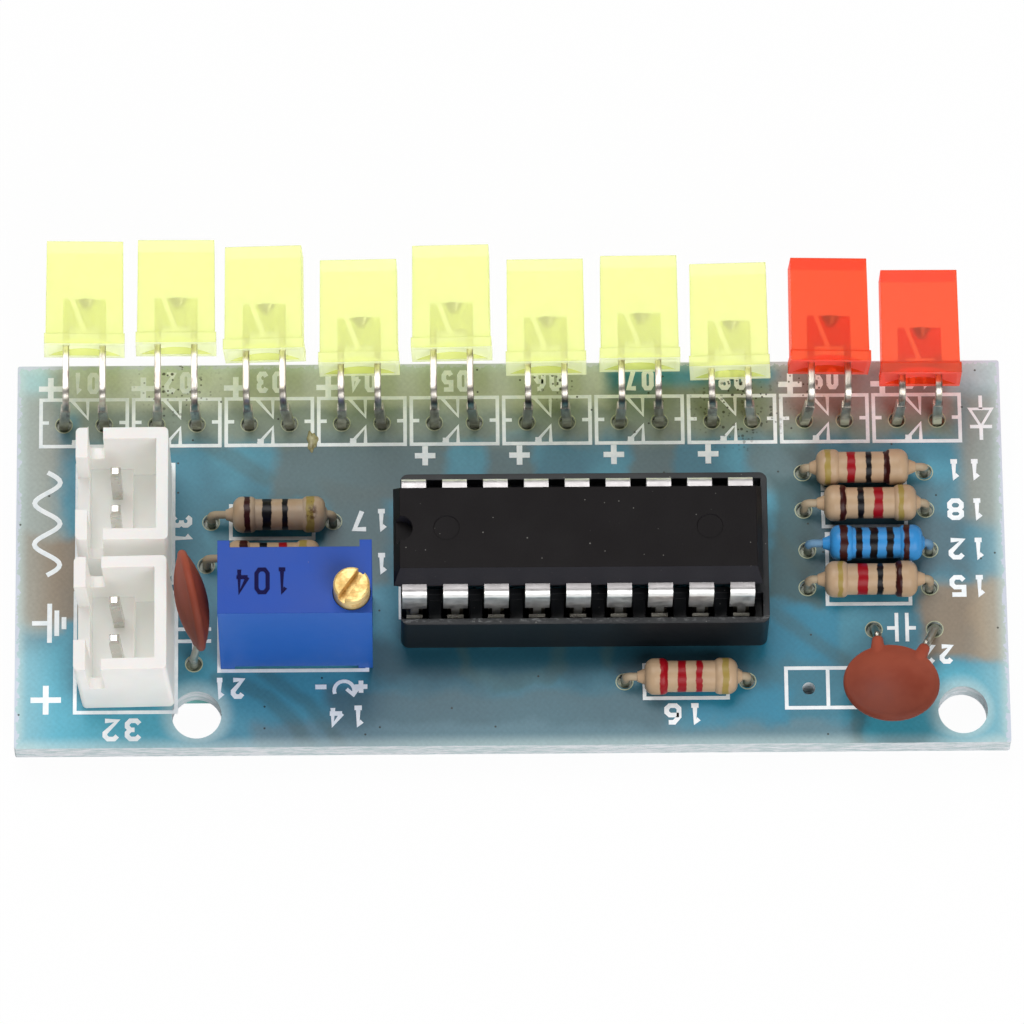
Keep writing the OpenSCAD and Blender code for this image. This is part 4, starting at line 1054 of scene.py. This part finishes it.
def make_tracks(material):
    """Copper strips under the board, from joint to joint. Each lies a hair lower than the last, so
    strips that meet never share a face. Lamp 10's strip crosses two others."""
    shape = bmesh.new()

    def track(*points, width=TRACK_W):
        ribbon(shape, points, width, -BOARD_T - TRACK_H - len(shape.verts) * TRACK_STEP,
               -BOARD_T + TRACK_SINK)

    def thin(*points):
        track(*points, width=FINE_TRACK_W)

    # Supply: the lamps' far leads, the bus along the back and down the right side
    for lamp in LAMPS:
        x, y = lamp_lead(lamp, -1)
        track((x, y), (x, SUPPLY_BACK))
    track((lamp_lead(1, -1)[0], SUPPLY_BACK), (SUPPLY_RIGHT, SUPPLY_BACK),
          (SUPPLY_RIGHT, SUPPLY_FRONT), width=BUS_W)
    x, y = chip_pin(3)
    track((x, y), (x, y + 2.7), (x + 1.1, y + 3.8), (15.2, y + 3.8), (17.6, SUPPLY_FRONT),
          (SUPPLY_RIGHT, SUPPLY_FRONT))

    # Lamps to the chip
    for lamp in range(2, 9):
        x, y = lamp_lead(lamp, 1)
        pin_x, pin_y = chip_pin(20 - lamp)
        level = pin_y + 5.6 - abs(x - pin_x) * 0.24
        thin((x, y), (x, level), (pin_x, pin_y + 1.0), (pin_x, pin_y))
    x, y = lamp_lead(9, 1)
    pin_x, pin_y = chip_pin(11)
    thin((x, y), (x, 6.9), (17.2, 6.6), (pin_x, pin_y + 1.1), (pin_x, pin_y))
    x, y = lamp_lead(10, 1)
    pin_x, pin_y = chip_pin(10)
    thin((x, y), (27.4, 7.6), (27.4, 4.9), (26.5, 4.05), (16.2, 4.05), (pin_x, pin_y))
    x, y = lamp_lead(1, 1)
    pin_x, pin_y = chip_pin(1)
    track((x, y), (x, 6.2), (x + 3.1, 3.1), (-9.0, 3.1), (-8.2, 2.3), (-8.2, pin_y + 1.1),
          (pin_x, pin_y), width=HAIR_TRACK_W)

    # Ground bus round the screw hole, just over its back edge, with what hangs on it
    signal_ends = row_ends("input_pins", HEADER_PIN_R)
    power_ends = row_ends("power_pins", HEADER_PIN_R)
    trimmer_ends = row_ends("trimmer_pins", TRIMMER_PIN_R)
    track((power_ends[0][0], -11.8), (-22.4, -11.8), (-21.6, -8.5), (-17.8, -8.5),
          (-16.8, GROUND_Y), (25.6, GROUND_Y), width=BUS_W)
    track(power_ends[0], (power_ends[0][0], -11.8))
    track(trimmer_ends[1], (trimmer_ends[1][0], GROUND_Y))
    track(UPRIGHT_CAPACITOR_HOLES[0], (UPRIGHT_CAPACITOR_HOLES[0][0], -8.5))
    for number in (2, 4, 8):
        x, y = chip_pin(number)
        track((x, y), (x, GROUND_Y))

    # Short links
    x, y = chip_pin(6)
    track((x, y), (x + 0.6, y - 1.5), (x + 1.9, y - 1.5), (x + CHIP_PITCH, y))
    left, far = resistor_holes(6)
    track((x + 1.2, y - 1.5), (left[0], left[1] + 1.2), left)
    track(far, (far[0], GROUND_Y))
    left_3, right_3 = resistor_holes(3)
    left_7, right_7 = resistor_holes(7)
    corner = UPRIGHT_CAPACITOR_HOLES[1]
    track(left_7, left_3, corner, (corner[0] - 1.6, corner[1]), signal_ends[0])
    thin(right_7, right_3)
    thin(corner, (-17.6, corner[1]), trimmer_ends[0])
    for first, second in ((1, 8), (8, 2), (2, 5)):
        thin(resistor_holes(first)[0], resistor_holes(second)[0])
    end = resistor_holes(1)[1]
    thin(end, (SUPPLY_RIGHT, end[1]))
    thin(resistor_holes(8)[1], resistor_holes(2)[1])
    add_piece("copper_tracks", shape, material)


def copper_finish():
    """Copper under the resist: lighter than the bare board beside it."""
    s = Finish("covered_copper", Roughness=0.26, IOR=1.5, Coat_Weight=0.3, Coat_Roughness=0.1)
    colour = s.mix(s.noise(3, 3, seed=91), srgb(112, 180, 178), srgb(132, 194, 186))
    s.set(Base_Color=colour)
    s.bump(s.noise(0.4, 3, seed=92), 0.01, 0.3)
    return s.material


CUP_RINGS = ((2.75, 0.24), (3.36, 0.6), (3.36, 0.48), (3.0, 0.3))
CUP_SIDE = 0.14
CUP_FLATNESS = 0.7
CUP_POINTS = 20


def make_cups(material):
    """Reflector cup on the wide blade inside each lamp. Its rings are given as the distance
    from the foot's end and the radius."""
    for lamp in LAMPS:
        low, high = extent(f"led_lens_{lamp}")
        center = (low + high) / 2
        lean = math.atan2(center.x - lamp_x(lamp), center.z)
        shape = bmesh.new()
        rings = []
        for height, radius in CUP_RINGS:
            edge = []
            for step in range(CUP_POINTS):
                angle = math.tau * step / CUP_POINTS
                local = Vector((CUP_SIDE + radius * math.cos(angle), 0,
                                CUP_FLATNESS * radius * math.sin(angle)))
                local.rotate(Matrix.Rotation(lean, 3, "Y"))
                edge.append(shape.verts.new((center.x + local.x, low.y + height,
                                             center.z + local.z)))
            rings.append(edge)
        skin(shape, rings)
        shape.faces.new(rings[0])
        shape.faces.new(rings[-1])
        add_piece(f"reflector_cup_{lamp}", shape, material)


# Put together

make_camera()
make_light()
make_floor()

dress(board_finish(), "circuit_board")
dress(solder_finish(), "solder_joints")
dress(moulded_finish("socket_plastic", srgb(26, 28, 31), 0.36, 0.12, shine=0.3,
                     lip=extent("ic_socket")[0].y + 0.3), "ic_socket")
dress(plated_finish("contact_tin", srgb(196, 192, 180)), "socket_contacts")
dress(moulded_finish("chip_plastic", srgb(24, 21, 22), 0.5, 0.07, 0.02, shine=0.1,
                     front=srgb(40, 39, 44)), "ic_package")
dress(pin_finish(), "ic_leads")
dress(moulded_finish("header_nylon", srgb(205, 204, 204), 0.42, 0.01, 0.008,
                     painted_glow=srgb(129, 129, 121)), "input_header", "power_header")
dress(plated_finish("pin_tin", srgb(216, 214, 208), 0.2), "input_pins", "power_pins")
dress(moulded_finish("trimmer_plastic", srgb(30, 75, 169), 0.42, 0.02, 0.02, shine=0.22,
                     front=srgb(38, 94, 182)), "trimmer_housing")
dress(plated_finish("trimmer_tin", srgb(206, 204, 196)), "trimmer_pins")
dress(brass_finish(), "trimmer_screw")
green = lens_finish("lens_green", srgb(246, 252, 162), srgb(251, 255, 212), 0.52, 0.1,
                    srgb(248, 252, 226))
red = lens_finish("lens_red", srgb(255, 95, 43), srgb(255, 158, 122), 0.72, 0.12,
                  srgb(242, 104, 90))
for lamp in LAMPS:
    dress(red if lamp >= FIRST_RED_LAMP else green, f"led_lens_{lamp}")
lamp_wire = wire_finish("lamp_wire", srgb(222, 218, 209), srgb(176, 168, 154),
                        (srgb(196, 198, 172), srgb(112, 110, 88)), 1.6, stain=srgb(112, 94, 96))
dress(lamp_wire, *(f"led_leads_{lamp}" for lamp in LAMPS))
old_flux = (srgb(126, 134, 116), srgb(86, 94, 78))
beige_wire = wire_finish("beige_wire", srgb(200, 196, 184), srgb(166, 160, 146), old_flux, 0.6,
                         coat=srgb(168, 150, 124))
blue_wire = wire_finish("blue_wire", srgb(200, 200, 196), srgb(166, 168, 166), old_flux, 0.6,
                        coat=srgb(96, 136, 168))
for number, (middle_x, bands) in RESISTORS.items():
    dress(resistor_finish(number, middle_x, bands), f"resistor_body_{number}")
    dress(blue_wire if number == 2 else beige_wire, f"resistor_leads_{number}")
for number in (1, 2):
    dress(disc_finish(number), f"capacitor_disc_{number}")
dress(wire_finish("plain_wire", srgb(204, 202, 192), srgb(166, 162, 148), old_flux, 1.0),
      *(name for name in nodes if name.startswith("capacitor_leads")))

make_print(silk_finish())
make_hole_rims(laminate_finish())
make_hole_flux(flux_finish("hole_flux", srgb(142, 148, 126), srgb(96, 104, 88)))
make_flux_bead(flux_finish("flux_bead", srgb(178, 172, 130), srgb(130, 120, 78)))
make_trimmer_digits(stamp_finish())
make_tracks(copper_finish())
make_cups(plated_finish("cup_tin", srgb(190, 186, 176)))
